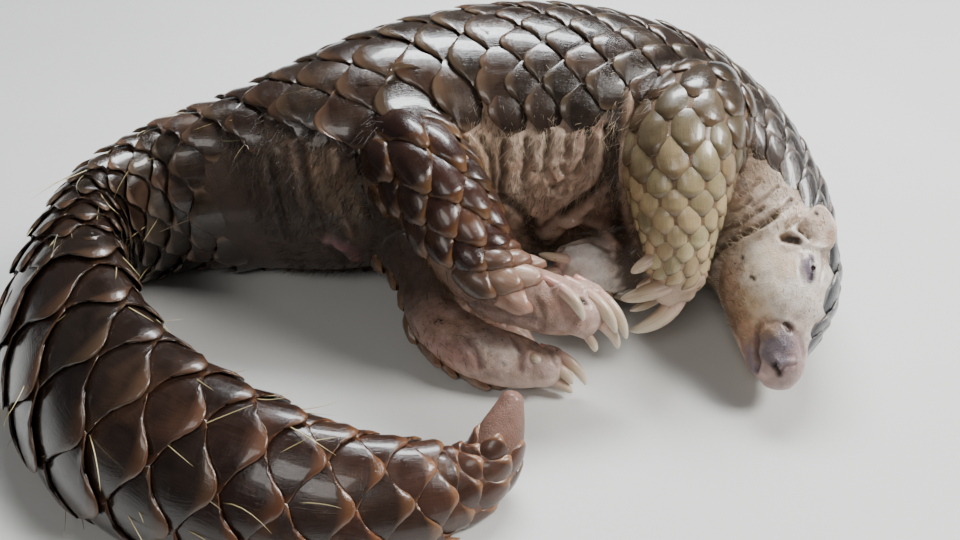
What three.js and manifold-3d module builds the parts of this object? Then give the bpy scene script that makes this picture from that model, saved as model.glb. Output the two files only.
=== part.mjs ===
// A life-size pangolin lying on its left side, its tail curled round in front of its belly.
// Millimetres, +Z up. The belly faces -Y, the head is at +X, and the floor is at Z = 0.
import * as THREE from "three";
import Module from "manifold-3d";

const wasm = await Module();
wasm.setup();

// Driving dimensions, in millimetres and degrees
const GAP = 0.3; // between two nodes that touch
const SINK = 1.5; // how far the body presses into its floor flats
const BIG = 400; // a block larger than any node
const SPARE = 45; // how far a stretch runs past its seams before they are cut

// Claws: corners round each ring, rings, and how wide and how deep they are for their half width
const CLAW_SIDES = 6;
const CLAW_RINGS = 4;
const CLAW_WIDE = 0.9;
const CLAW_DEEP = 1.1;

// The axis of the body from the tail tip to the snout, each station as
// [x, y, half width, depth to the back, depth to the belly, roll, height above its rest]
const AXIS = [
  [16, 242, 6, 6, 6, 35, 40],
  [11, 232, 12, 10, 9, 38, 24],
  [4, 221, 16, 12, 10, 38, 9],
  [-12, 212, 20, 13, 10, 40, 0],
  [-40, 203, 26, 16, 12, 42, 0],
  [-72, 200, 32, 18, 13, 43, 0],
  [-106, 205, 38, 20, 14, 43, 0],
  [-142, 217, 43, 22, 15, 43, 0],
  [-180, 239, 48, 24, 16, 42, 0],
  [-212, 275, 52, 26, 17, 40, 0],
  [-232, 319, 55, 28, 18, 36, 0],
  [-228, 363, 57, 30, 22, 28, 0],
  [-192, 392, 58, 35, 28, 18, 0],
  [-146, 400, 62, 45, 40, 10, 0],
  [-102, 409, 68, 60, 58, 8, 0],
  [-60, 424, 74, 71, 70, 10, 0],
  [-18, 437, 77, 78, 77, 10, 0],
  [27, 442, 79, 81, 79, 10, 0],
  [70, 437, 78, 80, 75, 8, 0],
  [108, 425, 74, 74, 64, 4, 0],
  [140, 405, 64, 62, 50, 0, 2],
  [161, 375, 50, 50, 38, -4, 8],
  [168, 344, 38, 38, 31, -6, 15],
  [168, 319, 33, 32, 29, -8, 12],
  [166, 301, 25, 23, 23, -8, 9],
  [164, 288, 19, 15, 17, -8, 9],
  [163, 279, 15, 12, 13, -8, 9],
  [162, 274, 9, 8, 8, -8, 12],
];

// Where the axis is parted into nodes, in stations from the tail tip
const AXIS_NODES = [
  ["tail_tip", "tail", 0, 3],
  ["tail_6", "tail", 3, 5],
  ["tail_5", "tail", 5, 7],
  ["tail_4", "tail", 7, 8.5],
  ["tail_3", "tail", 8.5, 10],
  ["tail_2", "tail", 10, 11.5],
  ["tail_1", "tail", 11.5, 13],
  ["rump", "trunk", 13, 15],
  ["abdomen", "trunk", 15, 17.5],
  ["chest", "trunk", 17.5, 20],
  ["neck", "trunk", 20, 22],
  ["head", "head", 22, 27],
];

// Each leg from its root to its toes, as
// [x, y, z, half width, depth one way, depth the other way, roll],
// with the stations where it is parted and the names of its three nodes
const LEGS = {
  hind_right: {
    parts: ["thigh", "shank", "foot"],
    seams: [1.4, 3.7],
    rows: [
      [-72, 398, 72, 38, 32, 32, 0],
      [-52, 379, 94, 36, 29, 29, 0],
      [-32, 357, 100, 30, 26, 26, 0],
      [-16, 336, 86, 26, 24, 24, 0],
      [2, 314, 66, 21, 20, 20, 0],
      [26, 304, 56, 18, 17, 17, 0],
      [48, 299, 52, 16, 14, 14, 0],
      [63, 297, 49, 8, 8, 8, 0],
    ],
  },
  hind_left: {
    parts: ["thigh", "shank", "foot"],
    seams: [1.2, 3],
    rows: [
      [-62, 400, 48, 34, 30, 30, 0],
      [-44, 376, 40, 27, 25, 25, 0],
      [-32, 350, 32, 20, 19, 19, 0],
      [-26, 322, 22, 16, 16, 16, 0],
      [-4, 302, 18, 17, 16, 16, 0],
      [22, 293, 16, 15, 15, 15, 0],
      [41, 289, 15, 9, 9, 9, 0],
    ],
  },
  fore_right: {
    parts: ["upper_arm", "forearm", "paw"],
    seams: [1.4, 4],
    rows: [
      [130, 408, 92, 46, 38, 38, 0],
      [122, 388, 108, 41, 36, 36, 0],
      [112, 362, 104, 33, 32, 32, 0],
      [110, 340, 86, 24, 24, 24, 0],
      [110, 328, 70, 18, 18, 18, 0],
      [109, 321, 56, 15, 15, 15, 0],
      [106, 317, 45, 9, 9, 9, 0],
    ],
  },
  fore_left: {
    parts: ["forearm", "paw"],
    seams: [2.4],
    rows: [
      [132, 388, 46, 32, 28, 28, 0],
      [108, 368, 38, 24, 22, 22, 0],
      [88, 356, 38, 19, 19, 19, 0],
      [72, 351, 40, 18, 18, 18, 0],
      [58, 350, 42, 14, 14, 14, 0],
      [50, 351, 43, 9, 9, 9, 0],
    ],
  },
};

// The toes of each foot, an egg about a centre along a direction, and the claws that grow from
// it, each as its root, its tip, how far its middle bows out and its half width
const FEET = {
  hind_right: {
    centre: [55, 297, 51],
    ahead: [0.85, -0.35, -0.4],
    halves: [13, 15, 13],
    claws: [
      { root: [41, 296, 69.5], tip: [54, 283.5, 57.5], bow: [1.5, -1, 2.5], width: 3.4 },
      { root: [55, 301, 62], tip: [72.5, 286, 46], bow: [2, -1, 2.5], width: 3.9 },
      { root: [62, 304, 59], tip: [79, 287.5, 40], bow: [2.5, -1, 2.5], width: 3.7 },
      { root: [64, 295, 46], tip: [76, 290, 30], bow: [2, 0, 1], width: 3.2 },
      { root: [57, 290, 42], tip: [62.5, 284, 34], bow: [1, -0.5, 0], width: 2.6 },
    ],
  },
  hind_left: {
    centre: [35, 289, 17],
    ahead: [0.9, -0.3, -0.2],
    halves: [13, 13, 12.5],
    claws: [
      { root: [28, 288, 25], tip: [33, 282, 28.5], bow: [0, -0.5, 1], width: 3.2 },
      { root: [43, 293, 22], tip: [59.5, 283, 8], bow: [2, 0, 2], width: 3.2 },
      { root: [41, 286, 20], tip: [51, 281, 11], bow: [1.5, -0.5, 1.5], width: 3.3 },
      { root: [40, 284, 12], tip: [52, 280.5, 4.5], bow: [1, -0.5, 0.5], width: 3.1 },
      { root: [40, 290, 9], tip: [49, 290, 3.5], bow: [0.5, 0, 0.5], width: 2.4 },
    ],
  },
  fore_right: {
    centre: [107, 322, 56],
    ahead: [-0.3, -0.4, -0.85],
    halves: [13, 12, 13],
    claws: [
      { root: [98, 323, 70], tip: [84, 319.5, 60], bow: [-1, -1.5, 0.5], width: 4.2 },
      { root: [110, 315, 58], tip: [80, 317.5, 42], bow: [-1, -3, 1], width: 5.6 },
      { root: [112, 316, 50], tip: [86, 309, 25], bow: [4, -2, -2.5], width: 5.3 },
      { root: [107, 325, 45], tip: [88, 324, 27], bow: [2, 0, -2], width: 3.6 },
      { root: [102, 331, 48], tip: [92, 333, 37], bow: [0, 0, -1], width: 2.8 },
    ],
  },
  fore_left: {
    centre: [58, 350, 43],
    ahead: [-0.9, 0, 0.1],
    halves: [12, 13, 12],
    claws: [
      { root: [55, 344, 49], tip: [35, 351, 48], bow: [0, -1.5, 1], width: 3.3 },
      { root: [50, 343, 41], tip: [27, 346, 33], bow: [-0.5, -1.5, 1.5], width: 3.8 },
      { root: [50, 349, 36], tip: [25, 353, 22], bow: [-1, 0, 2], width: 3.9 },
      { root: [54, 354, 33], tip: [33, 359, 18], bow: [-1, 0, 1.5], width: 3.4 },
      { root: [60, 357, 33], tip: [47, 362, 24], bow: [-0.5, 0, 0.5], width: 2.6 },
    ],
  },
};

// Places on the head, as stations and degrees from the crown
const EYE = {
  u: 22.95,
  angle: 82,
  radius: 4.3,
  depth: 2.2,
  lid: [7, 5.4, 5],
  slit: { before: 3, size: [6, 1.4, 6] },
};
const EAR = { u: 22.1, angle: 80, size: [11, 12, 7.5], hollow: 0.76, stand: 4 };
const MOUTH = { from: 24.6, to: 26.3, side: 116, lip: 1.7, slit: 1 };
const NOSTRIL = { u: 26.25, angle: 62, size: [3, 1.9, 2.7] };

// The scutes. They stand in staggered rows, each a shield with its root under those in front of
// it and its tip raised: these are the heights of its corners and its middle over the skin
const SCUTE = { root: -1.2, rootEdge: 0.2, side: 1.4, tipEdge: 3.3, tip: 3.8, middle: 3.9 };
const SCUTE_BULGE = 0.17; // how far the tip edges bow out, in widths
const SCUTE_VARIES = 0.12;

// Rows of scutes on the axis: stations, scutes to a full turn and the pitch of the rows in
// millimetres (a base and a share of the body's half width)
const AXIS_ROWS = {
  tail: { from: 0, to: 14.2, turn: 5, pitch: [4.5, 0.27] },
  trunk: { from: 12, to: 23, turn: 12, pitch: [13, 0.12] },
  head: { from: 21, to: 27, turn: 12, pitch: [6.5, 0.1] },
};
const LEG_ROWS = { turn: 6, pitch: [6.5, 0.28] };

// The stretch round each form that carries scutes: its middle in degrees and its reach at the
// first and the last of the stations that it lies between
const AXIS_SCALED = [
  { from: 0.9, to: 13.2, middle: 0, reach: [180, 180] },
  { from: 13.2, to: 14.8, middle: 0, reach: [108, 128] },
  { from: 14.8, to: 20, middle: 0, reach: [134, 128] },
  { from: 20, to: 22.5, middle: 0, reach: [120, 68] },
  { from: 22.5, to: 25.6, middle: 0, reach: [60, 40] },
];
const LEG_SCALED = {
  hind_right: [{ from: 0, to: 6, middle: 95, reach: [130, 62] }],
  hind_left: [{ from: 0, to: 4.8, middle: -90, reach: [90, 62] }],
  fore_right: [{ from: 0, to: 4.9, middle: 90, reach: [130, 110] }],
  fore_left: [{ from: 0, to: 3.6, middle: -90, reach: [90, 62] }],
};

// Small vector helpers
const vector = (x, y, z) => new THREE.Vector3(x, y, z);
const UP = vector(0, 0, 1);
const radians = THREE.MathUtils.degToRad;

// Closed triangles as a solid with its faces out
function solid(points, triangles) {
  const vertProperties = new Float32Array(points.flatMap((p) => [p.x, p.y, p.z]));
  const make = (faces) =>
    new wasm.Manifold(
      new wasm.Mesh({ numProp: 3, vertProperties, triVerts: new Uint32Array(faces.flat()) }),
    );
  const body = make(triangles);
  return body.volume() > 0 ? body : make(triangles.map(([a, b, c]) => [a, c, b]));
}

// A closed three.js geometry as a solid, its doubled corners merged
function fromGeometry(geometry) {
  const bare = geometry.index ? geometry.toNonIndexed() : geometry;
  const position = bare.attributes.position;
  const found = new Map();
  const points = [];
  const corners = [];
  for (let i = 0; i < position.count; i++) {
    const p = vector(position.getX(i), position.getY(i), position.getZ(i));
    const key = p.toArray().map((n) => Math.round(n * 1e4)).join();
    if (!found.has(key)) found.set(key, points.push(p) - 1);
    corners.push(found.get(key));
  }
  const triangles = [];
  for (let i = 0; i < corners.length; i += 3) {
    const [a, b, c] = corners.slice(i, i + 3);
    if (a !== b && b !== c && c !== a) triangles.push([a, b, c]);
  }
  return solid(points, triangles);
}

const join = (pieces) => pieces.reduce((all, piece) => all.add(piece));
const largest = (shape) =>
  shape.decompose().reduce((best, piece) => (piece.volume() > best.volume() ? piece : best));

// One smooth value through a list of rows, at a place counted in rows
function along(rows, place) {
  const last = rows.length - 1;
  const i = Math.min(Math.max(Math.floor(place), 0), last - 1);
  const t = place - i;
  const row = (k) => rows[Math.min(Math.max(k, 0), last)];
  const [a, b, c, d] = [row(i - 1), row(i), row(i + 1), row(i + 2)];
  return b.map((value, k) => {
    const bend = 2 * a[k] - 5 * value + 4 * c[k] - d[k] + (3 * value - a[k] + d[k] - 3 * c[k]) * t;
    return value + 0.5 * t * (c[k] - a[k] + t * bend);
  });
}

// A round form along an axis: its stations give its place, its depths and its roll
class Form {
  constructor(rows) {
    this.rows = rows;
    this.last = rows.length - 1;
  }

  centre(u) {
    const [x, y, z] = along(this.rows, u);
    return vector(x, y, z);
  }

  frame(u) {
    const [x, y, z, width, back, belly, roll] = along(this.rows, u);
    const step = 0.02;
    const run = this.centre(u + step).sub(this.centre(u - step));
    const speed = run.length() / (2 * step);
    const forward = run.normalize();
    const side = UP.clone().addScaledVector(forward, -UP.dot(forward)).normalize();
    const out = side.clone().cross(forward);
    const [c, s] = [Math.cos(radians(roll)), Math.sin(radians(roll))];
    return {
      centre: vector(x, y, z),
      forward,
      speed,
      right: side.clone().multiplyScalar(c).addScaledVector(out, -s),
      dorsal: out.clone().multiplyScalar(c).addScaledVector(side, s),
      width,
      back,
      belly,
    };
  }

  // A point of the surface at an angle from the back, lifted by a few millimetres
  point(u, angle, lift = 0) {
    const f = this.frame(u);
    const [c, s] = [Math.cos(radians(angle)), Math.sin(radians(angle))];
    const depth = (c > 0 ? f.back : f.belly) + lift;
    return f.centre
      .clone()
      .addScaledVector(f.dorsal, depth * c)
      .addScaledVector(f.right, (f.width + lift) * s);
  }

  // The surface's own directions at a point: along the form, round it and out of it
  patch(u, angle) {
    const ahead = this.point(u + 0.05, angle).sub(this.point(u - 0.05, angle)).normalize();
    const round = this.point(u, angle + 3).sub(this.point(u, angle - 3)).normalize();
    const out = ahead.clone().cross(round).normalize();
    if (out.dot(this.point(u, angle).sub(this.centre(u))) < 0) out.negate();
    return { at: this.point(u, angle), ahead, round, out };
  }
}

// The stations of the rows, from the root end of the scutes to their tip end
function rowStations(form, rows, flow) {
  const stations = [];
  const start = flow < 0 ? rows.to : rows.from;
  const stop = flow < 0 ? rows.from : rows.to;
  for (let u = start; (stop - u) * flow > 0; ) {
    stations.push(u);
    const { speed, width } = form.frame(Math.min(Math.max(u, 0), form.last));
    u += (flow * (rows.pitch[0] + rows.pitch[1] * width)) / speed;
  }
  return stations;
}

// Whether the skin carries scutes at a place of a form
function isScaled(zones, u, angle) {
  return zones.some(({ from, to, middle, reach }) => {
    const share = (u - from) / (to - from);
    const away = angle - middle - 360 * Math.round((angle - middle) / 360);
    return share >= 0 && share <= 1 && Math.abs(away) <= reach[0] + (reach[1] - reach[0]) * share;
  });
}

// How far one scute of a lattice differs from the mean, the same every time
function variety(i, j) {
  const noise = Math.sin(12.9898 * i + 78.233 * j) * 43758.5453;
  return 1 + SCUTE_VARIES * (2 * (noise - Math.floor(noise)) - 1);
}

// The heights round the rim of a scute, from its root by the right to its root again, and those
// of the scutes behind it where they pass under the rim of its tip
const RIM = ["root", "rootEdge", "side", "tipEdge", "tip", "tipEdge", "side", "rootEdge"];
const FOOT = ["", "", "root", "rootEdge", "side", "rootEdge", "root", ""];

// A closed stretch of a form with its scutes raised in its own surface, between two of its rows.
// Each cell of the lattice is one scute, a rhomb with a bowed tip. Bare cells lie flat.
function scaledForm(form, stations, [first, last], turn, zones, lift = 0) {
  const spacing = 360 / turn;
  const points = [];
  const found = new Map();
  const ahead = Math.sign(stations[first] - stations[last]);
  const vertex = ([u, angle], height) => {
    const raised = isScaled(zones, u, angle) ? height : 0;
    const turned = ((Math.round(angle * 1000) % 360000) + 360000) % 360000;
    const key = [Math.round(u * 1e5), turned, Math.round(raised * 1e4)].join();
    if (!found.has(key)) {
      const drift = lift ? (-1.3 * ahead * lift) / form.frame(u).speed : 0;
      found.set(key, points.push(form.point(u + drift, angle, raised + lift)) - 1);
    }
    return found.get(key);
  };
  const bare = (...spots) => !spots.some(([u, angle]) => isScaled(zones, u, angle));
  const endPoint = (i, push) => {
    const f = form.frame(stations[i]);
    return points.push(f.centre.addScaledVector(f.forward, push * f.width)) - 1;
  };
  const triangles = [];
  const face = (a, b, c) => {
    if (a !== b && b !== c && c !== a) triangles.push([a, b, c]);
  };
  const frontEnd = endPoint(first, 0.3 * ahead);
  const backEnd = endPoint(last, -0.3 * ahead);
  // the middle of an edge between two rows, bowed backwards and to one side
  const bowed = (i, from, to, side) => [
    stations[i] + (stations[i + 1] - stations[i]) * (0.5 + SCUTE_BULGE),
    ((from + to) / 2 + side * SCUTE_BULGE) * spacing,
  ];
  for (let i = first + 1; i < last; i++) {
    for (let j = 0; j < turn; j++) {
      const left = j + (i % 2) / 2;
      const [centre, right] = [left + 0.5, left + 1];
      const grow = variety(i, j);
      const rootRight = bowed(i - 1, centre, right, -1);
      const rootLeft = bowed(i - 1, centre, left, 1);
      const tipRight = bowed(i, right, centre, 1);
      const tipLeft = bowed(i, left, centre, -1);
      const leftCorner = [stations[i], left * spacing];
      const rightCorner = [stations[i], right * spacing];
      const tip = [stations[i + 1], centre * spacing];
      const root = [stations[i - 1], centre * spacing];
      const spots = [root, rootRight, rightCorner, tipRight, tip, tipLeft, leftCorner, rootLeft];
      const closed = [...spots, root];
      // an edge that is bare all along keeps no middle corner
      const kept = spots.map((_, k) => k % 2 === 0 || !bare(...closed.slice(k - 1, k + 2)));
      const vary = (name) => SCUTE[name] * (name.startsWith("tip") ? grow : 1);
      const rim = spots.map((spot, k) => (kept[k] ? vertex(spot, vary(RIM[k])) : -1));
      const ring = rim.filter((k) => k >= 0);
      if (bare(...spots)) {
        for (let k = 1; k < ring.length - 1; k++) face(ring[k], ring[k + 1], ring[0]);
      } else {
        const ridge = (stations[i - 1] + 2 * stations[i + 1]) / 3;
        const top = vertex([ridge, centre * spacing], SCUTE.middle * grow);
        ring.forEach((corner, k) => face(corner, ring[(k + 1) % ring.length], top));
      }
      const edges = (from, to) => {
        const corners = [];
        for (let k = from; k <= to; k++) if (kept[k % 8]) corners.push(k % 8);
        return corners.slice(1).map((k, n) => [corners[n], k]);
      };
      if (i === first + 1) edges(6, 10).forEach(([a, b]) => face(frontEnd, rim[b], rim[a]));
      if (i === last - 1) {
        edges(2, 6).forEach(([a, b]) => face(backEnd, rim[b], rim[a]));
        continue;
      }
      const foot = spots.map((spot, k) => (FOOT[k] && kept[k] ? vertex(spot, SCUTE[FOOT[k]]) : -1));
      for (const [a, b] of edges(2, 6)) {
        face(rim[b], rim[a], foot[a]);
        face(rim[b], foot[a], foot[b]);
      }
    }
  }
  return solid(points, triangles);
}

// The rows of a lattice that cover a stretch of a form and some way past its seams
function rowRange(form, stations, from, to) {
  const [low, high] = [from, to].map((u, k) => u + (k ? SPARE : -SPARE) / form.frame(u).speed);
  const inside = stations.map((_, i) => i).filter((i) => stations[i] > low && stations[i] < high);
  return [inside[0], inside.at(-1)];
}

// A block that takes away all that lies beyond a seam of a form, less half the gap
function beyond(form, u, direction) {
  const f = form.frame(u);
  const turn = new THREE.Matrix4().makeBasis(f.forward, f.dorsal, f.right);
  const reach = direction * (BIG / 2 - GAP / 2);
  turn.setPosition(f.centre.clone().addScaledVector(f.forward, reach));
  return fromGeometry(new THREE.BoxGeometry(BIG, BIG, BIG).applyMatrix4(turn));
}

// An egg of three half axes, set in three directions
function egg(centre, directions, halves, segments = 8) {
  const turn = new THREE.Matrix4().makeBasis(...directions).setPosition(centre);
  const ball = new THREE.SphereGeometry(1, segments, Math.ceil(segments * 0.6));
  return fromGeometry(ball.scale(...halves).applyMatrix4(turn));
}

// A thin cord of one radius through a few points, with pointed ends
function bead(points, radius, sides = 4) {
  const corners = [points[0]];
  const triangles = [];
  points.slice(1, -1).forEach((p, i) => {
    const ahead = points[i + 2].clone().sub(points[i]).normalize();
    const side = ahead.clone().cross(UP).normalize();
    const over = ahead.clone().cross(side);
    for (let j = 0; j < sides; j++) {
      const turn = (2 * Math.PI * j) / sides;
      const corner = p.clone().addScaledVector(side, radius * Math.cos(turn));
      corners.push(corner.addScaledVector(over, radius * Math.sin(turn)));
    }
  });
  corners.push(points.at(-1));
  const end = corners.length - 1;
  const rings = points.length - 2;
  const at = (i, j) => 1 + i * sides + (j % sides);
  for (let j = 0; j < sides; j++) {
    triangles.push([0, at(0, j), at(0, j + 1)]);
    triangles.push([end, at(rings - 1, j + 1), at(rings - 1, j)]);
    for (let i = 0; i < rings - 1; i++) {
      triangles.push([at(i, j), at(i + 1, j), at(i + 1, j + 1)]);
      triangles.push([at(i, j), at(i + 1, j + 1), at(i, j + 1)]);
    }
  }
  return solid(corners, triangles);
}

// A claw from its root to its tip, bowed along its length and deeper than it is wide
function claw({ root, tip, bow, width }, lift = 0) {
  const [start, end, bend] = [root, tip, bow].map((p) => vector(...p));
  const run = end.clone().sub(start);
  const line = (t) => start.clone().addScaledVector(run, t).addScaledVector(bend, 4 * t * (1 - t));
  const side = run.clone().cross(bend).normalize();
  const points = [line(-0.05)];
  const triangles = [];
  for (let i = 0; i <= CLAW_RINGS; i++) {
    const t = i / (CLAW_RINGS + 1);
    const ahead = line(t + 0.05).sub(line(t - 0.05)).normalize();
    const over = ahead.clone().cross(side);
    const half = width * (1 - t ** 2.5) ** 0.7 + lift;
    for (let j = 0; j < CLAW_SIDES; j++) {
      const turn = (2 * Math.PI * j) / CLAW_SIDES;
      const corner = line(t).addScaledVector(side, CLAW_WIDE * half * Math.cos(turn));
      points.push(corner.addScaledVector(over, CLAW_DEEP * half * Math.sin(turn)));
    }
  }
  points.push(end);
  const last = points.length - 1;
  const at = (i, j) => 1 + i * CLAW_SIDES + (j % CLAW_SIDES);
  for (let j = 0; j < CLAW_SIDES; j++) {
    triangles.push([0, at(0, j), at(0, j + 1)]);
    triangles.push([last, at(CLAW_RINGS, j + 1), at(CLAW_RINGS, j)]);
    for (let i = 0; i < CLAW_RINGS; i++) {
      triangles.push([at(i, j), at(i + 1, j), at(i + 1, j + 1)]);
      triangles.push([at(i, j), at(i + 1, j + 1), at(i, j + 1)]);
    }
  }
  return solid(points, triangles);
}

const floorBlock = new THREE.BoxGeometry(2 * BIG, 3 * BIG, BIG).translate(0, 0, -BIG / 2);
const underFloor = fromGeometry(floorBlock);

// Each finished shape becomes a named mesh of the model
const model = new THREE.Group();
const trunk = new THREE.Group();
const limbs = new THREE.Group();
const horn = new THREE.Group();
model.add(trunk, limbs, horn);

function addNode(group, name, shape, color, roughness) {
  const { vertProperties, triVerts } = largest(shape.subtract(underFloor)).getMesh();
  const geometry = new THREE.BufferGeometry();
  geometry.setAttribute("position", new THREE.BufferAttribute(vertProperties, 3));
  geometry.setIndex(new THREE.BufferAttribute(triVerts, 1));
  const material = new THREE.MeshStandardMaterial({ color, roughness, metalness: 0 });
  const mesh = new THREE.Mesh(geometry, material);
  mesh.name = name;
  group.add(mesh);
}

// The axis, with each station set down on the floor
const body = new Form(
  AXIS.map(([x, y, width, back, belly, roll, height]) => {
    const [c, s] = [Math.cos(radians(roll)), Math.sin(radians(roll))];
    const rest = Math.hypot(width * c, ((back + belly) / 2) * s);
    return [x, y, rest - SINK + height, width, back, belly, roll];
  }),
);

// What stands out of the head and what is sunk in it, on the right (1) and on the left (-1)
function faceSide(side) {
  const eye = body.patch(EYE.u, side * EYE.angle);
  const nostril = body.patch(NOSTRIL.u, side * NOSTRIL.angle);
  const set = ({ ahead, round, out }) => [ahead, round, out];
  const centre = eye.at.clone().addScaledVector(eye.out, -EYE.depth);
  const front = eye.at.clone().addScaledVector(eye.out, EYE.slit.before);
  const ball = (radius) => egg(centre, set(eye), [radius, radius, radius]);
  return {
    lids: egg(centre, set(eye), EYE.lid),
    socket: ball(EYE.radius + GAP),
    slit: egg(front, set(eye), EYE.slit.size, 6),
    eyeball: ball(EYE.radius),
    pit: egg(nostril.at, set(nostril), NOSTRIL.size, 6),
  };
}

// The line of the mouth, from one corner round the front of the jaw to the other
function mouthLine(lift) {
  const steps = 4;
  const points = [];
  for (let i = -steps; i <= steps; i++) {
    const t = 1 - Math.abs(i) / steps;
    const angle = MOUTH.side + (180 - MOUTH.side) * t ** 3;
    const u = MOUTH.from + (MOUTH.to - MOUTH.from) * Math.sin((t * Math.PI) / 2);
    points.push(body.point(u, Math.sign(i || 1) * angle, lift));
  }
  return points;
}

const faces = { right: faceSide(1), left: faceSide(-1) };
function finishHead(shape) {
  for (const face of Object.values(faces)) {
    shape = shape.add(face.lids).subtract(face.socket).subtract(face.slit).subtract(face.pit);
  }
  return shape.add(bead(mouthLine(-0.4), MOUTH.lip)).subtract(bead(mouthLine(1), MOUTH.slit));
}

// Head, neck, trunk and tail
const axisStations = {};
for (const [part, rows] of Object.entries(AXIS_ROWS)) {
  axisStations[part] = rowStations(body, rows, -1);
}
function axisStretch(part, from, to, lift) {
  const stations = axisStations[part];
  const range = rowRange(body, stations, from, to);
  return scaledForm(body, stations, range, AXIS_ROWS[part].turn, AXIS_SCALED, lift);
}
for (const [name, part, from, to] of AXIS_NODES) {
  let shape = axisStretch(part, from, to, 0);
  if (name === "head") shape = finishHead(shape);
  if (from > 0) shape = shape.subtract(beyond(body, from, -1));
  if (to < body.last) shape = shape.subtract(beyond(body, to, 1));
  addNode(trunk, name, shape, "#4b3a2e", 0.35);
}

// What the legs are cut clear of, and what the ears are
const around = join([
  axisStretch("tail", 12.5, 13, GAP).subtract(beyond(body, 13.1, 1)),
  axisStretch("trunk", 13, 22, GAP).subtract(beyond(body, 22.1, 1)).subtract(beyond(body, 13, -1)),
  axisStretch("head", 22, 27, GAP).subtract(beyond(body, 22, -1)),
]);
const aroundHead = axisStretch("head", 21.5, 27, 2 * GAP);

// Eyes and ears
for (const [name, side] of [["right", 1], ["left", -1]]) {
  addNode(trunk, `eye_${name}`, faces[name].eyeball, "#17120f", 0.1);
  const { at, ahead, round, out } = body.patch(EAR.u, side * EAR.angle);
  const centre = at.clone().addScaledVector(out, EAR.stand);
  const mouth = centre.clone().addScaledVector(out, 3).addScaledVector(ahead, 1.5);
  const cup = egg(centre, [ahead, round, out], EAR.size, 10);
  const hollow = egg(mouth, [ahead, round, out], EAR.size.map((n) => n * EAR.hollow), 8);
  const pinna = cup.subtract(hollow).subtract(around).subtract(aroundHead);
  addNode(trunk, `ear_${name}`, pinna, "#d9b8a2", 0.6);
}

// Legs, each parted at its seams, and their claws
const done = [around];
for (const [leg, { parts, seams, rows }] of Object.entries(LEGS)) {
  const form = new Form(rows);
  const stations = rowStations(form, { from: 0, to: form.last, ...LEG_ROWS }, 1);
  const foot = FEET[leg];
  const ahead = vector(...foot.ahead).normalize();
  const across = ahead.clone().cross(UP).normalize();
  const toes = (lift) =>
    egg(
      vector(...foot.centre),
      [ahead, across, ahead.clone().cross(across)],
      foot.halves.map((half) => half + lift),
    );
  const whole = (lift) =>
    scaledForm(form, stations, [0, stations.length - 1], LEG_ROWS.turn, LEG_SCALED[leg], lift).add(
      toes(lift),
    );
  const others = join(done);
  const shape = whole(0).subtract(others);
  const cuts = [0, ...seams, form.last];
  parts.forEach((part, i) => {
    let piece = shape;
    if (i > 0) piece = piece.subtract(beyond(form, cuts[i], -1));
    if (i < parts.length - 1) piece = piece.subtract(beyond(form, cuts[i + 1], 1));
    addNode(limbs, `${part}_${leg.endsWith("right") ? "right" : "left"}`, piece, "#8a6a50", 0.5);
  });
  const grown = whole(GAP);
  let taken = grown.add(others);
  foot.claws.forEach((one, i) => {
    addNode(horn, `claw_${leg}_${i + 1}`, claw(one).subtract(taken), "#d8c7a0", 0.35);
    taken = taken.add(claw(one, GAP));
  });
  done.push(taken);
}

// The origin is the middle of the underside
const box = new THREE.Box3().setFromObject(model);
const middle = box.getCenter(vector(0, 0, 0));
model.position.set(-middle.x, -middle.y, 0);
model.updateMatrixWorld(true);

export default model;
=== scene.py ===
"""Looks of the pangolin: one skin, its scales, claws, ears, eyes and sparse hair."""
import math

import bpy
import numpy as np
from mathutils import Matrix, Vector
from mathutils.bvhtree import BVHTree
from mathutils.kdtree import KDTree
from mathutils.noise import noise as noise3


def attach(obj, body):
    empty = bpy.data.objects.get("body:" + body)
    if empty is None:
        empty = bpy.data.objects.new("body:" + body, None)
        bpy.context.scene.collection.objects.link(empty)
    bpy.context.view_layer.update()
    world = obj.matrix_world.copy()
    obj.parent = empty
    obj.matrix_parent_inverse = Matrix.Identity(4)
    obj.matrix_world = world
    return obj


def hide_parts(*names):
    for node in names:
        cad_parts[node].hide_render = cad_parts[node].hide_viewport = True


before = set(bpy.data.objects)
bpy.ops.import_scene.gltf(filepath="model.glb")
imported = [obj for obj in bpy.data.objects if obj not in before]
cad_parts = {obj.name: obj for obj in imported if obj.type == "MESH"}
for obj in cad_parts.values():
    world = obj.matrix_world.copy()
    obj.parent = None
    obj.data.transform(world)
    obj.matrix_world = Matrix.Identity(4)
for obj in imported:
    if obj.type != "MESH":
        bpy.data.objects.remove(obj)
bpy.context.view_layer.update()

# The camera of the photograph: its height over the floor in millimetres, its pitch in degrees,
# its focal length and its picture in pixels
CAMERA_HEIGHT = 330.0
CAMERA_PITCH = 40.0
FOCAL = 753.0
PICTURE = (960, 540)

# From the origin of these tables to the one of the part, in millimetres
SHIFT = np.array([31.3924, -348.9591, 0.0])
UP = np.array([0.0, 0.0, 1.0])
SINK = 1.5  # how far the body is pressed into the floor

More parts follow.
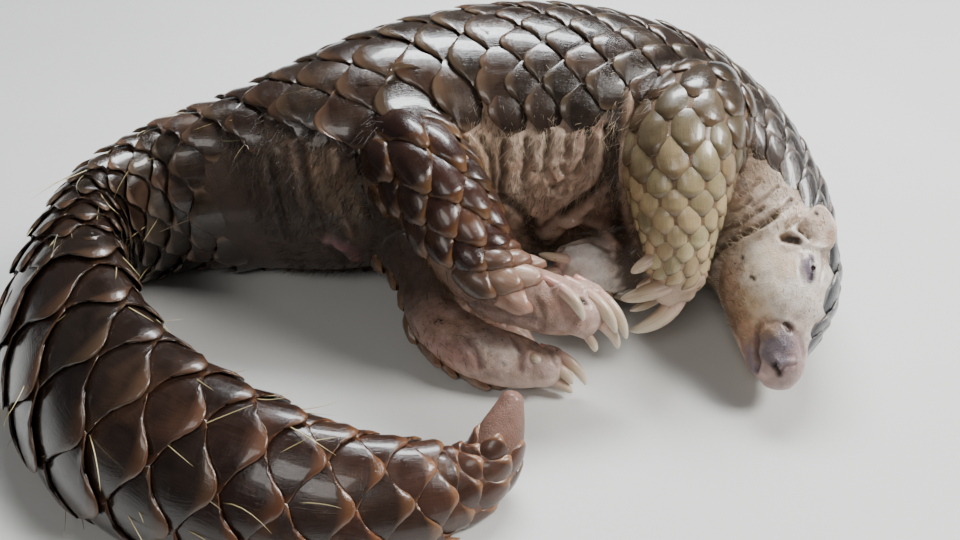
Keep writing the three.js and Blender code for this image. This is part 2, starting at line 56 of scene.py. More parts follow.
# The axis of the body from the tail tip to the snout, as in the part's source:
# x, y, half width, depth to the back, depth to the belly, roll, height above its rest
AXIS = [
    [16, 242, 6, 6, 6, 35, 40],
    [11, 232, 12, 10, 9, 38, 24],
    [4, 221, 16, 12, 10, 38, 9],
    [-12, 212, 20, 13, 10, 40, 0],
    [-40, 203, 26, 16, 12, 42, 0],
    [-72, 200, 32, 18, 13, 43, 0],
    [-106, 205, 38, 20, 14, 43, 0],
    [-142, 217, 43, 22, 15, 43, 0],
    [-180, 239, 48, 24, 16, 42, 0],
    [-212, 275, 52, 26, 17, 40, 0],
    [-232, 319, 55, 28, 18, 36, 0],
    [-228, 363, 57, 30, 22, 28, 0],
    [-192, 392, 58, 35, 28, 18, 0],
    [-146, 400, 62, 45, 40, 10, 0],
    [-102, 409, 68, 60, 58, 8, 0],
    [-60, 424, 74, 71, 70, 10, 0],
    [-18, 437, 77, 78, 77, 10, 0],
    [27, 442, 79, 81, 79, 10, 0],
    [70, 437, 78, 80, 75, 8, 0],
    [108, 425, 74, 74, 64, 4, 0],
    [140, 405, 64, 62, 50, 0, 2],
    [161, 375, 50, 50, 38, -4, 8],
    [168, 344, 38, 38, 31, -6, 15],
    [168, 319, 33, 32, 29, -8, 12],
    [166, 301, 25, 23, 23, -8, 9],
    [164, 288, 19, 15, 17, -8, 9],
    [163, 279, 15, 12, 13, -8, 9],
    [162, 274, 9, 8, 8, -8, 12],
]

# Each leg from its root to its toes: x, y, z, half width and depth
LEGS = {
    "hind_right": [
        [-72, 398, 72, 38, 32],
        [-52, 379, 94, 36, 29],
        [-32, 357, 100, 30, 26],
        [-16, 336, 86, 26, 24],
        [2, 314, 66, 21, 20],
        [26, 304, 56, 18, 17],
        [48, 299, 52, 16, 14],
        [63, 297, 49, 8, 8],
    ],
    "hind_left": [
        [-62, 400, 48, 34, 30],
        [-44, 376, 40, 27, 25],
        [-32, 350, 32, 20, 19],
        [-26, 322, 22, 16, 16],
        [-4, 302, 18, 17, 16],
        [22, 293, 16, 15, 15],
        [41, 289, 15, 9, 9],
    ],
    "fore_right": [
        [130, 408, 92, 46, 38],
        [122, 388, 108, 41, 36],
        [112, 362, 104, 33, 32],
        [110, 340, 86, 24, 24],
        [110, 328, 70, 18, 18],
        [109, 321, 56, 15, 15],
        [106, 317, 45, 9, 9],
    ],
    "fore_left": [
        [132, 388, 46, 32, 28],
        [108, 368, 38, 24, 22],
        [88, 356, 38, 19, 19],
        [72, 351, 40, 18, 18],
        [58, 350, 42, 14, 14],
        [50, 351, 43, 9, 9],
    ],
}

# The toes of each foot, an egg about a centre along a direction, and its claws, as in the part's
# source: root, tip, how far the middle bows out, and half width. The flesh round the roots of
# the claws has a share of its own
FEET = {
    "hind_right": dict(
        flesh=1, centre=[55, 297, 51], ahead=[0.85, -0.35, -0.4], halves=[13, 15, 13],
        claws=[
            ([41, 296, 69.5], [54, 283.5, 57.5], [1.5, -1, 2.5], 3.4),
            ([55, 301, 62], [72.5, 286, 46], [2, -1, 2.5], 3.9),
            ([62, 304, 59], [79, 287.5, 40], [2.5, -1, 2.5], 3.7),
            ([64, 295, 46], [76, 290, 30], [2, 0, 1], 3.2),
            ([57, 290, 42], [62.5, 284, 34], [1, -0.5, 0], 2.6),
        ],
    ),
    "hind_left": dict(
        flesh=1, centre=[35, 289, 17], ahead=[0.9, -0.3, -0.2], halves=[13, 13, 12.5],
        claws=[
            ([28, 288, 25], [33, 282, 28.5], [0, -0.5, 1], 3.2),
            ([43, 293, 22], [59.5, 283, 8], [2, 0, 2], 3.2),
            ([41, 286, 20], [51, 281, 11], [1.5, -0.5, 1.5], 3.3),
            ([40, 284, 12], [52, 280.5, 4.5], [1, -0.5, 0.5], 3.1),
            ([40, 290, 9], [49, 290, 3.5], [0.5, 0, 0.5], 2.4),
        ],
    ),
    "fore_right": dict(
        flesh=1.25, centre=[107, 322, 56], ahead=[-0.3, -0.4, -0.85], halves=[13, 12, 13],
        claws=[
            ([98, 323, 70], [84, 319.5, 60], [-1, -1.5, 0.5], 4.2),
            ([110, 315, 58], [80, 317.5, 42], [-1, -3, 1], 5.6),
            ([112, 316, 50], [86, 309, 25], [4, -2, -2.5], 5.3),
            ([107, 325, 45], [88, 324, 27], [2, 0, -2], 3.6),
            ([102, 331, 48], [92, 333, 37], [0, 0, -1], 2.8),
        ],
    ),
    "fore_left": dict(
        flesh=1, centre=[58, 350, 43], ahead=[-0.9, 0, 0.1], halves=[12, 13, 12],
        claws=[
            ([55, 344, 49], [35, 351, 48], [0, -1.5, 1], 3.3),
            ([50, 343, 41], [27, 346, 33], [-0.5, -1.5, 1.5], 3.8),
            ([50, 349, 36], [25, 353, 22], [-1, 0, 2], 3.9),
            ([54, 354, 33], [33, 359, 18], [-1, 0, 1.5], 3.4),
            ([60, 357, 33], [47, 362, 24], [-0.5, 0, 0.5], 2.6),
        ],
    ),
}

# The flesh behind the left heel, which fills the place under the right foot
HEEL = dict(
    line=[[-34, 338, 15], [-12, 332, 13], [8, 325, 12], [22, 317, 12], [31, 311, 12]],
    half=[10, 12, 12, 10, 3],
)

# The root of flesh of each toe: where it starts between the paw's centre and the claw, where it
# goes on along the claw, and its radii in half widths of the claw
TOE = dict(start=(0.25, 0.65), along=(-0.15, 0.0, 0.1), radii=(1.6, 1.6, 1.5, 1.38, 1.15))
PAW_INSET = 0.8  # how much less the skin of a paw has than its egg

# Places on the head, as stations and degrees from the crown. The lid of the eye is an egg that
# lies sunk by its depth, with a slit pressed into it. The rim of the ear is a loop of places on
# the head's surface in millimetres, towards the throat and towards the snout, with its height
# and its thickness
EYE = dict(u=22.95, angle=82, depth=2.2, lid=[8.5, 5.4, 4.6], slit=[5.2, 0.7, 0.45])
EAR = dict(
    u=22.3, angle=76, heart=(8, 1), steps=48,
    rim=[
        (15, 2, 0.8, 1.8), (10, -3.5, 2.2, 2.2), (5, -9, 4, 2.4), (0, -14.5, 6.5, 2.4),
        (-3.5, -13.5, 7.5, 2.6), (-7, -8, 8, 3), (-9.5, -1, 7, 3.2), (-9, 6, 4.5, 3),
        (-5, 10, 2.4, 2.6), (2, 9, 1.8, 2), (10, 7, 1.4, 1.8),
    ],
    # how far each ring lies inside the rim in thicknesses, and towards the heart of the hollow,
    # and its height as a share of the rim's, with a few millimetres more
    rings=[
        (-0.5, 0, 0, -5), (-0.55, 0, 0.3, 0), (-0.5, 0, 0.75, 0), (-0.25, 0, 1, 0.3),
        (0.15, 0, 1.05, 0.4), (0.5, 0, 1.02, 0.2), (0.8, 0, 0.9, 0), (0.7, 0.25, 0.72, -0.4),
        (0.3, 0.6, 0.3, -1.4), (0, 0.9, 0, -2.4),
    ],
)

# Runs of scutes: stations, scutes to a full turn and the pitch of the rows in millimetres
# (a base and a share of the body's half width). They point from the first station to the last
AXIS_RUNS = {
    "head": dict(start=27, stop=21.6, turn=15, pitch=[4.2, 0.13]),
    "neck": dict(start=22.3, stop=19.8, turn=18, pitch=[6, 0.1]),
    "chest": dict(start=20.6, stop=16.2, turn=18, pitch=[11, 0.03]),
    "rump": dict(start=17, stop=13.2, turn=12, pitch=[12, 0.05]),
    "base": dict(start=14.3, stop=9.5, turn=10, pitch=[8.5, 0.06]),
    "tail": dict(start=10.1, stop=3, turn=5, pitch=[4.5, 0.27]),
    "tip": dict(start=3.9, stop=0.2, turn=5, pitch=[3.6, 0.3]),
}
LEG_RUNS = {
    "hind_right": dict(start=0, stop=7, turn=7, pitch=[5.5, 0.26]),
    "hind_left": dict(start=0, stop=6, turn=8, pitch=[5, 0.2]),
    "fore_right": dict(start=0, stop=6, turn=10, pitch=[4.2, 0.16]),
    "fore_left": dict(start=0, stop=5, turn=9, pitch=[5, 0.2]),
}

# Where each form carries scutes: stations, the middle in degrees and the reach at both ends
AXIS_SCALED = [
    (1.1, 12.9, 0, 180, 180),
    (12.9, 14.8, 0, 108, 128),
    (14.8, 20, 0, 134, 128),
    (20, 22.5, 0, 120, 62),
    (22.5, 25.1, 0, 58, 44),
]
LEG_SCALED = {
    "hind_right": [(1.7, 5.1, 95, 120, 60)],
    "hind_left": [(0, 4.8, -90, 90, 62)],
    "fore_right": [(0.2, 4.9, 90, 130, 110)],
    "fore_left": [(0, 3.6, -90, 90, 62)],
}

# The shapes of scutes, in shares of a row for their width and reach, and in millimetres: their
# half width at the root and at most, how blunt and how round the tip is, how far they reach
# back and on, how far their edge bows back, how steeply they rise, how far a tip may tilt, how
# high the crown is and how far the tip droops, how deep they are sunk, and their thickness
SCUTE = dict(
    root=0.78, broad=1.12, blunt=0.62, round=2.3, back=1.45, front=1.16, bow=0.6,
    rise=0.1, tilt=1.2, crown=2.0, droop=1.2, sunk=-1.0, thick=1.3,
)
SCUTE_TAIL = dict(SCUTE, blunt=0.42, round=1.5, tilt=1.4, crown=1.6, thick=1.7, droop=0.9)
SCUTE_HEAD = dict(SCUTE, blunt=0.5, rise=0.12, crown=0.9, thick=1.0, tilt=0.6)
SCUTE_LEG = dict(
    SCUTE, root=0.8, broad=1.0, round=2.4, front=1.02, rise=0.06, tilt=0.7, crown=4.2, droop=2.4,
    back=1.2,
)
SCUTE_COBBLE = dict(
    SCUTE_LEG, root=0.9, blunt=0.78, round=3.0, bow=0.35, back=1.0, front=0.93, rise=0.03,
    crown=2.2, droop=1.4,
)
SCUTE_BASE = dict(SCUTE, blunt=0.42, round=1.6, crown=2.2, rise=0.18, tilt=1.4, sunk=-2.6, back=1.2)
SCUTE_TIP = dict(SCUTE_LEG, crown=2.2, droop=1.6, rise=0.03, tilt=0.4)
VARY = dict(size=0.06, lean=0.1)  # how far single scutes differ

# One scute's own grid: along from its hidden root to its tip, across from edge to edge
ALONG = np.array([0, 0.2, 0.38, 0.52, 0.64, 0.75, 0.84, 0.91, 0.96, 1.0])
ACROSS = np.array([-1, -0.93, -0.8, -0.55, -0.28, 0, 0.28, 0.55, 0.8, 0.93, 1])

# The runs of each piece of scutes along the axis
AXIS_PIECES = dict(
    trunk=[("chest", SCUTE), ("rump", SCUTE)],
    neck=[("head", SCUTE_HEAD), ("neck", SCUTE)],
    tail=[("base", SCUTE_BASE), ("tail", SCUTE_TAIL), ("tip", SCUTE_TIP)],
)

# Where flank scutes may ride over the thigh: stations, degrees to both sides of the belly, how
# far at most, and how deep they stay in it
RIDE = dict(first=13.6, last=17.0, round=110, reach=34.0, sunk=1.5)

# The horn's colour along each form: station, the body of a scute and its edge
HORN_TONES = dict(
    axis=[
        (0, (0.13, 0.07, 0.048), (0.34, 0.2, 0.11)),
        (2.5, (0.07, 0.034, 0.022), (0.26, 0.13, 0.06)),
        (5, (0.03, 0.017, 0.013), (0.14, 0.06, 0.026)),
        (8, (0.018, 0.011, 0.008), (0.07, 0.04, 0.024)),
        (10.8, (0.022, 0.014, 0.01), (0.1, 0.062, 0.038)),
        (12, (0.034, 0.022, 0.015), (0.2, 0.13, 0.085)),
        (13.6, (0.026, 0.016, 0.011), (0.09, 0.055, 0.034)),
        (16, (0.032, 0.02, 0.014), (0.12, 0.075, 0.045)),
        (20, (0.036, 0.025, 0.019), (0.14, 0.1, 0.065)),
        (22.5, (0.036, 0.034, 0.038), (0.26, 0.24, 0.22)),
        (27, (0.06, 0.062, 0.075), (0.36, 0.35, 0.34)),
    ],
    hind_right=[
        (0, (0.03, 0.017, 0.013), (0.12, 0.07, 0.035)),
        (2, (0.03, 0.014, 0.01), (0.15, 0.075, 0.03)),
        (3.8, (0.045, 0.019, 0.013), (0.18, 0.09, 0.04)),
        (4.4, (0.26, 0.16, 0.11), (0.15, 0.07, 0.04)),
        (5, (0.4, 0.28, 0.21), (0.2, 0.1, 0.06)),
    ],
    hind_left=[
        (0, (0.06, 0.03, 0.02), (0.2, 0.12, 0.05)),
        (6, (0.3, 0.2, 0.13), (0.2, 0.1, 0.06)),
    ],
    fore_right=[
        (0, (0.03, 0.023, 0.02), (0.1, 0.07, 0.045)),
        (1.2, (0.05, 0.036, 0.026), (0.11, 0.07, 0.04)),
        (1.9, (0.16, 0.12, 0.07), (0.1, 0.06, 0.03)),
        (2.6, (0.48, 0.39, 0.21), (0.085, 0.045, 0.02)),
        (6, (0.54, 0.43, 0.26), (0.1, 0.055, 0.026)),
    ],
    fore_left=[
        (0, (0.3, 0.25, 0.18), (0.2, 0.13, 0.08)),
        (5, (0.5, 0.42, 0.3), (0.26, 0.16, 0.1)),
    ],
)

# The bare skin's colour along each form, by station
PAINT = dict(
    axis=[
        (0, (0.24, 0.13, 0.1)), (1.5, (0.16, 0.08, 0.055)), (4, (0.1, 0.055, 0.04)),
        (12.6, (0.045, 0.027, 0.02)), (13.3, (0.06, 0.036, 0.026)), (15, (0.11, 0.064, 0.045)),
        (15.8, (0.58, 0.42, 0.32)), (17.1, (0.56, 0.4, 0.3)), (17.9, (0.3, 0.19, 0.14)),
        (20, (0.25, 0.17, 0.12)), (21.3, (0.42, 0.32, 0.24)), (22.2, (0.72, 0.6, 0.5)),
        (23, (0.86, 0.78, 0.7)), (25.2, (0.85, 0.76, 0.68)), (26, (0.6, 0.46, 0.44)),
        (27, (0.62, 0.45, 0.42)),
    ],
    hind_right=[
        (0, (0.05, 0.03, 0.02)), (1.4, (0.09, 0.05, 0.03)), (3.2, (0.2, 0.1, 0.05)),
        (4.4, (0.22, 0.13, 0.1)), (5.4, (0.42, 0.28, 0.23)), (7, (0.56, 0.4, 0.34)),
    ],
    hind_left=[
        (0, (0.07, 0.042, 0.03)), (2.6, (0.1, 0.06, 0.045)), (3.4, (0.56, 0.38, 0.32)),
        (6, (0.66, 0.5, 0.43)),
    ],
    fore_right=[
        (0, (0.08, 0.055, 0.04)), (1.6, (0.17, 0.1, 0.055)), (3.6, (0.24, 0.15, 0.08)),
        (4.6, (0.5, 0.35, 0.25)), (6, (0.6, 0.44, 0.33)),
    ],
    fore_left=[(0, (0.4, 0.3, 0.24)), (1.6, (0.8, 0.72, 0.66)), (5, (0.7, 0.58, 0.5))],
)

# Folds, creases, washes of colour and painted shade where the photograph shows them, as lines
# of its pixels: half width and depth in millimetres (a ridge where it is negative), colour, its
# strength, and one line or more

# The muzzle: its pad, the mouth, the nostril, the tip of the nose and the jaw
MUZZLE = [
    (
        8.5, -0.5, (0.17, 0.15, 0.195), 0.95,
        [(768, 334), (779, 341), (789, 350), (787, 359), (771, 355)],
    ),
    (4.5, -0.8, None, 0, [(768, 330), (782, 340), (792, 352)]),
    (6, -0.6, (0.46, 0.19, 0.12), 0.85, [(744, 324), (745, 343), (749, 360)]),
    (3, 0, (0.26, 0.2, 0.22), 0.85, [(751, 340), (752, 352), (753, 366)]),
    (3, 0, (0.24, 0.2, 0.25), 0.8, [(747, 344), (750, 360), (754, 372)]),
    (
        1.7, 1.9, (0.11, 0.065, 0.075), 0.9,
        [(760, 324), (756, 332), (757, 342), (756, 352), (759, 362), (756, 371)],
    ),
    (6.5, 0, (0.4, 0.28, 0.27), 0.85, [(774, 387), (787, 380), (796, 368), (800, 354)]),
    (1.3, 2.8, (0.03, 0.015, 0.02), 1, [(775, 364), (776.5, 369), (779, 373)]),
    (1.8, -1.4, None, 0, [(780, 364), (786, 361), (792, 361)]),
    (1.2, 1.0, (0.24, 0.16, 0.18), 0.6, [(782, 369), (788, 365), (795, 364)]),
    (2.0, 1.0, (0.42, 0.32, 0.34), 0.5, [(766, 322), (776, 321), (788, 326), (800, 340), (803, 356)]),
    (1.7, 1.2, (0.06, 0.012, 0.01), 1, [(786, 324), (788, 326), (789, 329)]),
]

# The cheek, warm and dirty at the edge, where its darker brown is also painted shade of the face's
# shadowed side
CHEEK = [
    # warm brown along the cheek's left edge, deepened by painted shade
    (12, 0, (0.44, 0.27, 0.15), 0.8, [(725, 284), (729, 306), (741, 326)]),
    # painted shade along the cheek's left edge
    (5, 0, (0.2, 0.11, 0.065), 0.75, [(721, 286), (724, 304), (734, 326)]),
    (7, 0, (0.74, 0.6, 0.42), 0.5, [(760, 262), (774, 284), (752, 300)]),
    (8, 0, (0.62, 0.42, 0.23), 0.5, [(744, 300), (756, 316), (764, 322)]),
    (6, 0, (0.66, 0.44, 0.24), 0.5, [(782, 256), (790, 270)]),
]

# The closed lids
LIDS = [
    (3.2, 0.2, (0.19, 0.15, 0.2), 0.95, [(809, 263), (810, 273)]),
    (1.8, 0.2, (0.17, 0.13, 0.18), 0.95, [(811, 256), (811, 268), (810, 281)]),
    (1.3, 0.7, (0.04, 0.028, 0.035), 0.95, [(813, 259), (814.5, 268), (812, 279)]),
    (1.2, 0.8, (0.3, 0.2, 0.2), 0.5, [(802, 256), (800, 270), (804, 284)]),
    (1.4, 0.9, (0.55, 0.4, 0.34), 0.5, [(822, 252), (824, 266), (820, 282)]),
]

# The hollow of the ear and the folds behind it, with painted shade on the hollow's inner side
EAR_FOLDS = [
    (2.2, 2.6, (0.06, 0.035, 0.025), 0.95, [(784, 239), (791, 240), (797, 241)]),
    # painted shade on the inner side of the hollow
    (3.8, 1.0, (0.26, 0.18, 0.12), 0.85, [(801, 226), (806, 234), (812, 240)]),
    (1.8, 1.4, (0.07, 0.04, 0.028), 0.9, [(801, 232), (808, 237)]),
    (3, 0, (0.36, 0.2, 0.12), 0.6, [(830, 236), (830, 252), (824, 262)]),
    (1.4, 0, (0.05, 0.03, 0.02), 1, [(816, 213), (817, 214)]),
    (1.4, 0.4, (0.09, 0.06, 0.03), 1, [(751, 277), (754, 279)]),
    (1.2, 0, (0.05, 0.03, 0.02), 1, [(742, 257), (743, 258)]),
    (2.4, -0.6, (0.8, 0.62, 0.52), 0.8, [(785, 246), (794, 248), (800, 252)]),
    (3, -1.6, (0.74, 0.62, 0.5), 0.7, [(742, 243), (760, 233), (780, 223), (798, 211)]),
    (1.5, 0.9, (0.5, 0.32, 0.18), 0.6, [(781, 237), (786, 228), (797, 219)]),
]

# The neck, with painted shade along its edge by the paw
NECK = [
    (
        2.2, 3.2, (0.05, 0.032, 0.022), 0.95,
        [(708, 262), (718, 250), (733, 239), (746, 233), (760, 226), (774, 216)],
    ),
    (1.5, 1.6, (0.14, 0.09, 0.06), 0.7, [(774, 216), (784, 208), (792, 200)]),
    (1.6, 1.6, (0.12, 0.08, 0.055), 0.75, [(723, 230), (737, 225), (752, 215), (762, 209)]),
    (1.3, 1.2, (0.2, 0.13, 0.09), 0.6, [(752, 206), (764, 199), (778, 187)]),
    (1.2, 1.1, (0.22, 0.15, 0.1), 0.5, [(730, 212), (742, 207), (750, 200)]),
    (1.2, 0.9, (0.24, 0.16, 0.11), 0.5, [(738, 196), (750, 190), (759, 179)]),
    (7, 0, (0.3, 0.21, 0.15), 0.5, [(722, 240), (745, 228), (765, 214)]),
    # painted shade where the neck meets the paw
    (3.8, 0, (0.05, 0.032, 0.022), 0.85, [(708, 272), (706, 252), (714, 236)]),
]

# The throat side of the foreleg, with painted shade along it
THROAT = [
    # painted shade along the foreleg, running on into the shadow by the swelling
    (6, 0, (0.03, 0.018, 0.013), 0.95, [(622, 60), (614, 120), (615, 165), (617, 200), (622, 240)]),
    (3.2, -3.2, (0.46, 0.33, 0.24), 0.85, [(629, 92), (626, 130), (624, 170), (628, 215), (637, 250)]),
]

# The folds of the belly
BELLY = [
    (1.8, 3.2, (0.08, 0.045, 0.03), 0.9, [(505, 143), (501, 158), (504, 172), (500, 188)]),
    (1.7, 3.0, (0.08, 0.045, 0.03), 0.85, [(526, 140), (528, 156), (523, 178)]),
    (2.0, 3.4, (0.06, 0.034, 0.024), 0.9, [(549, 135), (546, 152), (545, 168), (553, 186)]),
    (1.6, 2.2, (0.09, 0.05, 0.035), 0.85, [(566, 140), (568, 150), (561, 166), (566, 174)]),
    (2.1, 3.6, (0.055, 0.032, 0.022), 0.9, [(588, 134), (587, 154), (573, 174), (553, 190)]),
    (
        3.0, 4.2, (0.04, 0.025, 0.018), 0.95,
        [(607, 130), (609, 168), (602, 184), (575, 205), (552, 222), (538, 236)],
    ),
    (
        1.2, 1.0, (0.2, 0.12, 0.09), 0.6,
        [(508, 158), (518, 163), (524, 160)],
        [(529, 168), (539, 172), (546, 168)],
        [(553, 158), (560, 154), (570, 158), (584, 152)],
    ),
    (5.5, -2.6, (0.62, 0.46, 0.35), 0.6, [(514, 142), (513, 165), (512, 190)]),
    (5.5, -2.8, (0.66, 0.5, 0.39), 0.6, [(538, 140), (536, 160), (533, 182)]),
    (5, -2.6, (0.62, 0.45, 0.35), 0.6, [(558, 138), (556, 158), (550, 174)]),
    (6, -3.0, (0.62, 0.45, 0.35), 0.6, [(577, 138), (577, 156), (564, 176), (543, 192)]),
    (5, -3.0, (0.5, 0.36, 0.27), 0.6, [(598, 138), (598, 160), (588, 182), (562, 200)]),
    (4, -3.0, (0.46, 0.32, 0.24), 0.6, [(590, 206), (566, 224), (545, 246)]),
    (3, 3.0, (0.06, 0.035, 0.025), 0.9, [(500, 196), (516, 206), (530, 222), (536, 240)]),
    (7, 0, (0.04, 0.025, 0.018), 0.85, [(530, 225), (545, 245), (560, 262)]),
    (9, 0, (0.09, 0.055, 0.04), 0.7, [(585, 225), (600, 245)]),
]

# The groin: creases, a pale patch, the vent, and the tendons by the thigh
GROIN = [
    (30, 0, (0.04, 0.025, 0.018), 0.85, [(285, 170), (310, 210), (345, 250), (380, 250)]),
    (11, 0, (0.22, 0.145, 0.085), 0.65, [(316, 160), (334, 185), (346, 206)]),
    (4.5, -0.5, (0.62, 0.56, 0.5), 0.9, [(357, 136), (364, 146)]),
    (2.4, 3.0, (0.02, 0.013, 0.01), 0.9, [(349, 134), (356, 158), (361, 190), (372, 215)]),
    (3, -2.0, (0.2, 0.13, 0.09), 0.7, [(332, 150), (335, 180), (345, 212), (352, 236)]),
    (3, 2.4, (0.02, 0.013, 0.01), 0.8, [(300, 150), (306, 190), (322, 232), (345, 262)]),
    (2.6, 2.2, (0.02, 0.013, 0.01), 0.8, [(270, 160), (276, 200), (288, 240)]),
    (4, -0.6, (0.6, 0.54, 0.48), 0.9, [(368, 141), (376, 145), (372, 150)]),
    (4.6, -3.4, (0.26, 0.13, 0.14), 0.85, [(330, 241), (345, 247), (355, 255)]),
    (2.2, -0.5, (0.3, 0.03, 0.04), 0.95, [(356, 257), (358, 260)]),
    (1.7, 2.2, (0.16, 0.08, 0.035), 0.7, [(452, 134), (466, 150), (480, 170)]),
    (1.7, 2.0, (0.16, 0.08, 0.04), 0.7, [(480, 138), (491, 158), (492, 190)]),
    (2.6, -2.4, (0.6, 0.36, 0.16), 0.85, [(445, 136), (459, 152), (474, 172)]),
    (2.6, -2.2, (0.66, 0.45, 0.3), 0.85, [(466, 135), (480, 152), (486, 176)]),
]

# The soles
SOLES = [
    (2.2, 1.3, (0.16, 0.09, 0.075), 0.5, [(445, 296), (470, 304), (500, 308), (530, 318), (560, 332)]),
    (
        1.6, 1.0, (0.16, 0.09, 0.075), 0.5,
        [(468, 286), (476, 300), (468, 318)],
        [(504, 292), (510, 304), (506, 324)],
        [(536, 298), (543, 314), (540, 334)],
    ),
    (6, -1.4, (0.28, 0.17, 0.14), 0.6, [(478, 312), (500, 320)]),
    (6, -1.4, (0.34, 0.21, 0.18), 0.6, [(520, 318), (548, 330)]),
    (7, -1.2, (0.48, 0.32, 0.27), 0.6, [(566, 328), (590, 336)]),
    (1.6, 0.8, (0.02, 0.013, 0.01), 1, [(582, 300), (585, 303)]),
    (8, -1.2, (0.5, 0.3, 0.27), 0.7, [(432, 348), (450, 354), (468, 358)]),
    (8, -1.6, (0.7, 0.58, 0.52), 0.8, [(488, 342), (506, 350)]),
    (6, -1.4, (0.5, 0.36, 0.33), 0.7, [(530, 362), (552, 366)]),
    (2.2, 1.4, (0.2, 0.11, 0.1), 0.5, [(468, 338), (476, 352), (480, 366)]),
    (2.0, 1.4, (0.2, 0.11, 0.1), 0.5, [(514, 338), (521, 352), (519, 370)]),
    (1.6, 1.1, (0.14, 0.08, 0.07), 0.5, [(536, 342), (550, 350), (556, 366)]),
    (2.6, -1.8, (0.66, 0.44, 0.38), 0.8, [(529, 352), (537, 356)]),
]

# The pale swelling between the forelegs, with painted shadow along its right side
SWELLING = [
    (9, -1.0, (0.88, 0.85, 0.8), 0.9, [(568, 250), (586, 256), (594, 270)]),
    # painted shadow to the right of the swelling
    (9, 0, (0.06, 0.038, 0.027), 0.92, [(622, 238), (630, 262), (636, 288)]),
    (2.2, 1.6, (0.3, 0.2, 0.16), 0.6, [(548, 262), (566, 246), (590, 240), (610, 250)]),
    (5, -0.8, (0.62, 0.38, 0.33), 0.8, [(540, 252), (560, 262)]),
    (3.4, -2.6, (0.46, 0.32, 0.25), 0.8, [(540, 236), (556, 222), (582, 219), (602, 228), (614, 244)]),
]

STROKES = MUZZLE + CHEEK + LIDS + EAR_FOLDS + NECK + THROAT + BELLY + GROIN + SOLES + SWELLING

# Where dirt clings, and painted shade along the cheek's left edge, as lines of pixels with a half
# width in millimetres and its amount, and where the skin is wet
DIRT_AND_SHADE = [
    (6, 1.3, [(426, 318), (446, 322)]), (6, 1.2, [(462, 324), (488, 330)]),
    (5, 1.1, [(534, 344), (558, 350)]), (10, 0.7, [(420, 300), (430, 330)]),
    (18, 0.8, [(440, 340), (540, 368)]), (18, 0.8, [(450, 300), (600, 330)]),
    # the first of these, on the cheek's left edge, is painted shade as well as dirt
    (9, 0.95, [(722, 280), (727, 306), (738, 330)]), (6, 0.7, [(715, 250), (746, 229), (770, 210)]),
    (9, 1.0, [(510, 196), (540, 178), (570, 190)]), (16, 0.9, [(505, 150), (540, 166), (590, 150)]),
    (8, 0.75, [(590, 215), (612, 245)]), (12, 0.8, [(736, 262), (756, 290), (742, 310)]),
    (30, 0.35, [(750, 262), (790, 290)]), (26, 1.0, [(290, 160), (345, 200), (330, 240)]),
    (6, 0.6, [(640, 262), (668, 256)]),
]
WET = [
    (9, 1.0, [(768, 334), (779, 342), (790, 352), (788, 362), (770, 358)]),
    (4, 1.0, [(811, 256), (811, 280)]), (8, 0.8, [(776, 384), (792, 376)]),
    (8, 0.8, [(345, 246), (358, 258)]), (10, 0.7, [(450, 300), (590, 335)]),
]
EVEN_MARK = (0.35, 0.3)  # how dirty and how wet the skin is everywhere

# Hairs by region. Each kind has its form, first and last station, length, half width, how far it
# stands up, its way along the form and round it (mirrored past 180 degrees) and its colour. The
# strips that follow have their first and last angle and how many hairs
HAIRS = dict(
    belly=[
        (
            ("axis", (15.0, 20.0), 6.5, 0.22, 0.5, -0.3, 1.0, (0.34, 0.24, 0.15)),
            (118, 176, 2600), (184, 236, 1400),
        ),
        (("axis", (13.1, 15.0), 7.5, 0.22, 0.5, -0.6, 0.8, (0.07, 0.045, 0.03)), (100, 176, 1900)),
        (("axis", (13.1, 15.0), 7.5, 0.22, 0.5, -0.6, 0.8, (0.1, 0.065, 0.045)), (184, 256, 700)),
    ],
    flank=[
        (("axis", (15.8, 20.2), 8, 0.2, 0.45, -0.3, 1.0, (0.6, 0.48, 0.32)), (136, 146, 320)),
        (("axis", (15.0, 20.2), 8, 0.2, 0.45, -0.3, 1.0, (0.6, 0.48, 0.32)), (214, 224, 260)),
    ],
    neck=[
        (
            ("axis", (20.2, 22.4), 6, 0.2, 0.4, -1.0, 0.3, (0.5, 0.38, 0.24)),
            (70, 176, 1500), (184, 290, 900),
        ),
        (
            ("axis", (22.4, 25.0), 2.8, 0.15, 0.3, -1.0, 0.2, (0.62, 0.5, 0.36)),
            (62, 176, 1300), (184, 298, 900),
        ),
        (("axis", (22.3, 24.4), 4.5, 0.17, 0.5, -0.6, 0.3, (0.34, 0.2, 0.11)), (150, 200, 260)),
    ],
    limbs=[
        (("hind_right", (0.9, 4.6), 6, 0.2, 0.4, 1.0, 0.0, (0.3, 0.18, 0.09)), (150, 330, 900)),
        (("hind_left", (0.3, 4.2), 5, 0.2, 0.4, 1.0, 0.0, (0.2, 0.13, 0.08)), (0, 359, 1100)),
        (("fore_right", (0.6, 5.0), 7, 0.2, 0.5, 1.0, 0.0, (0.4, 0.29, 0.17)), (195, 345, 1200)),
        (("fore_left", (0.2, 3.2), 3.5, 0.16, 0.4, 1.0, 0.0, (0.6, 0.5, 0.38)), (0, 359, 700)),
    ],
)
HAIR_VARY = 0.5  # how much the length of a hair varies
HAIR_RINGS, HAIR_SIDES = 6, 3
HAIR_CAST = 14.0  # how far over and under a form its hairs look for the skin
HAIR_FLOOR = 0.6  # no hair is rooted lower than this
BAKE_PATCH = 0.003  # how far one hair's patch reaches on the map

# Single bristles between the scutes: first and last station, degrees to both sides, how many,
# length, how much it varies and half width
BRISTLES = [(5.0, 12.9, 175, 120, 21, 0.28, 0.34), (12.9, 20.0, 125, 130, 13, 0.4, 0.18)]
BRISTLE_COLOUR = (0.72, 0.6, 0.3)

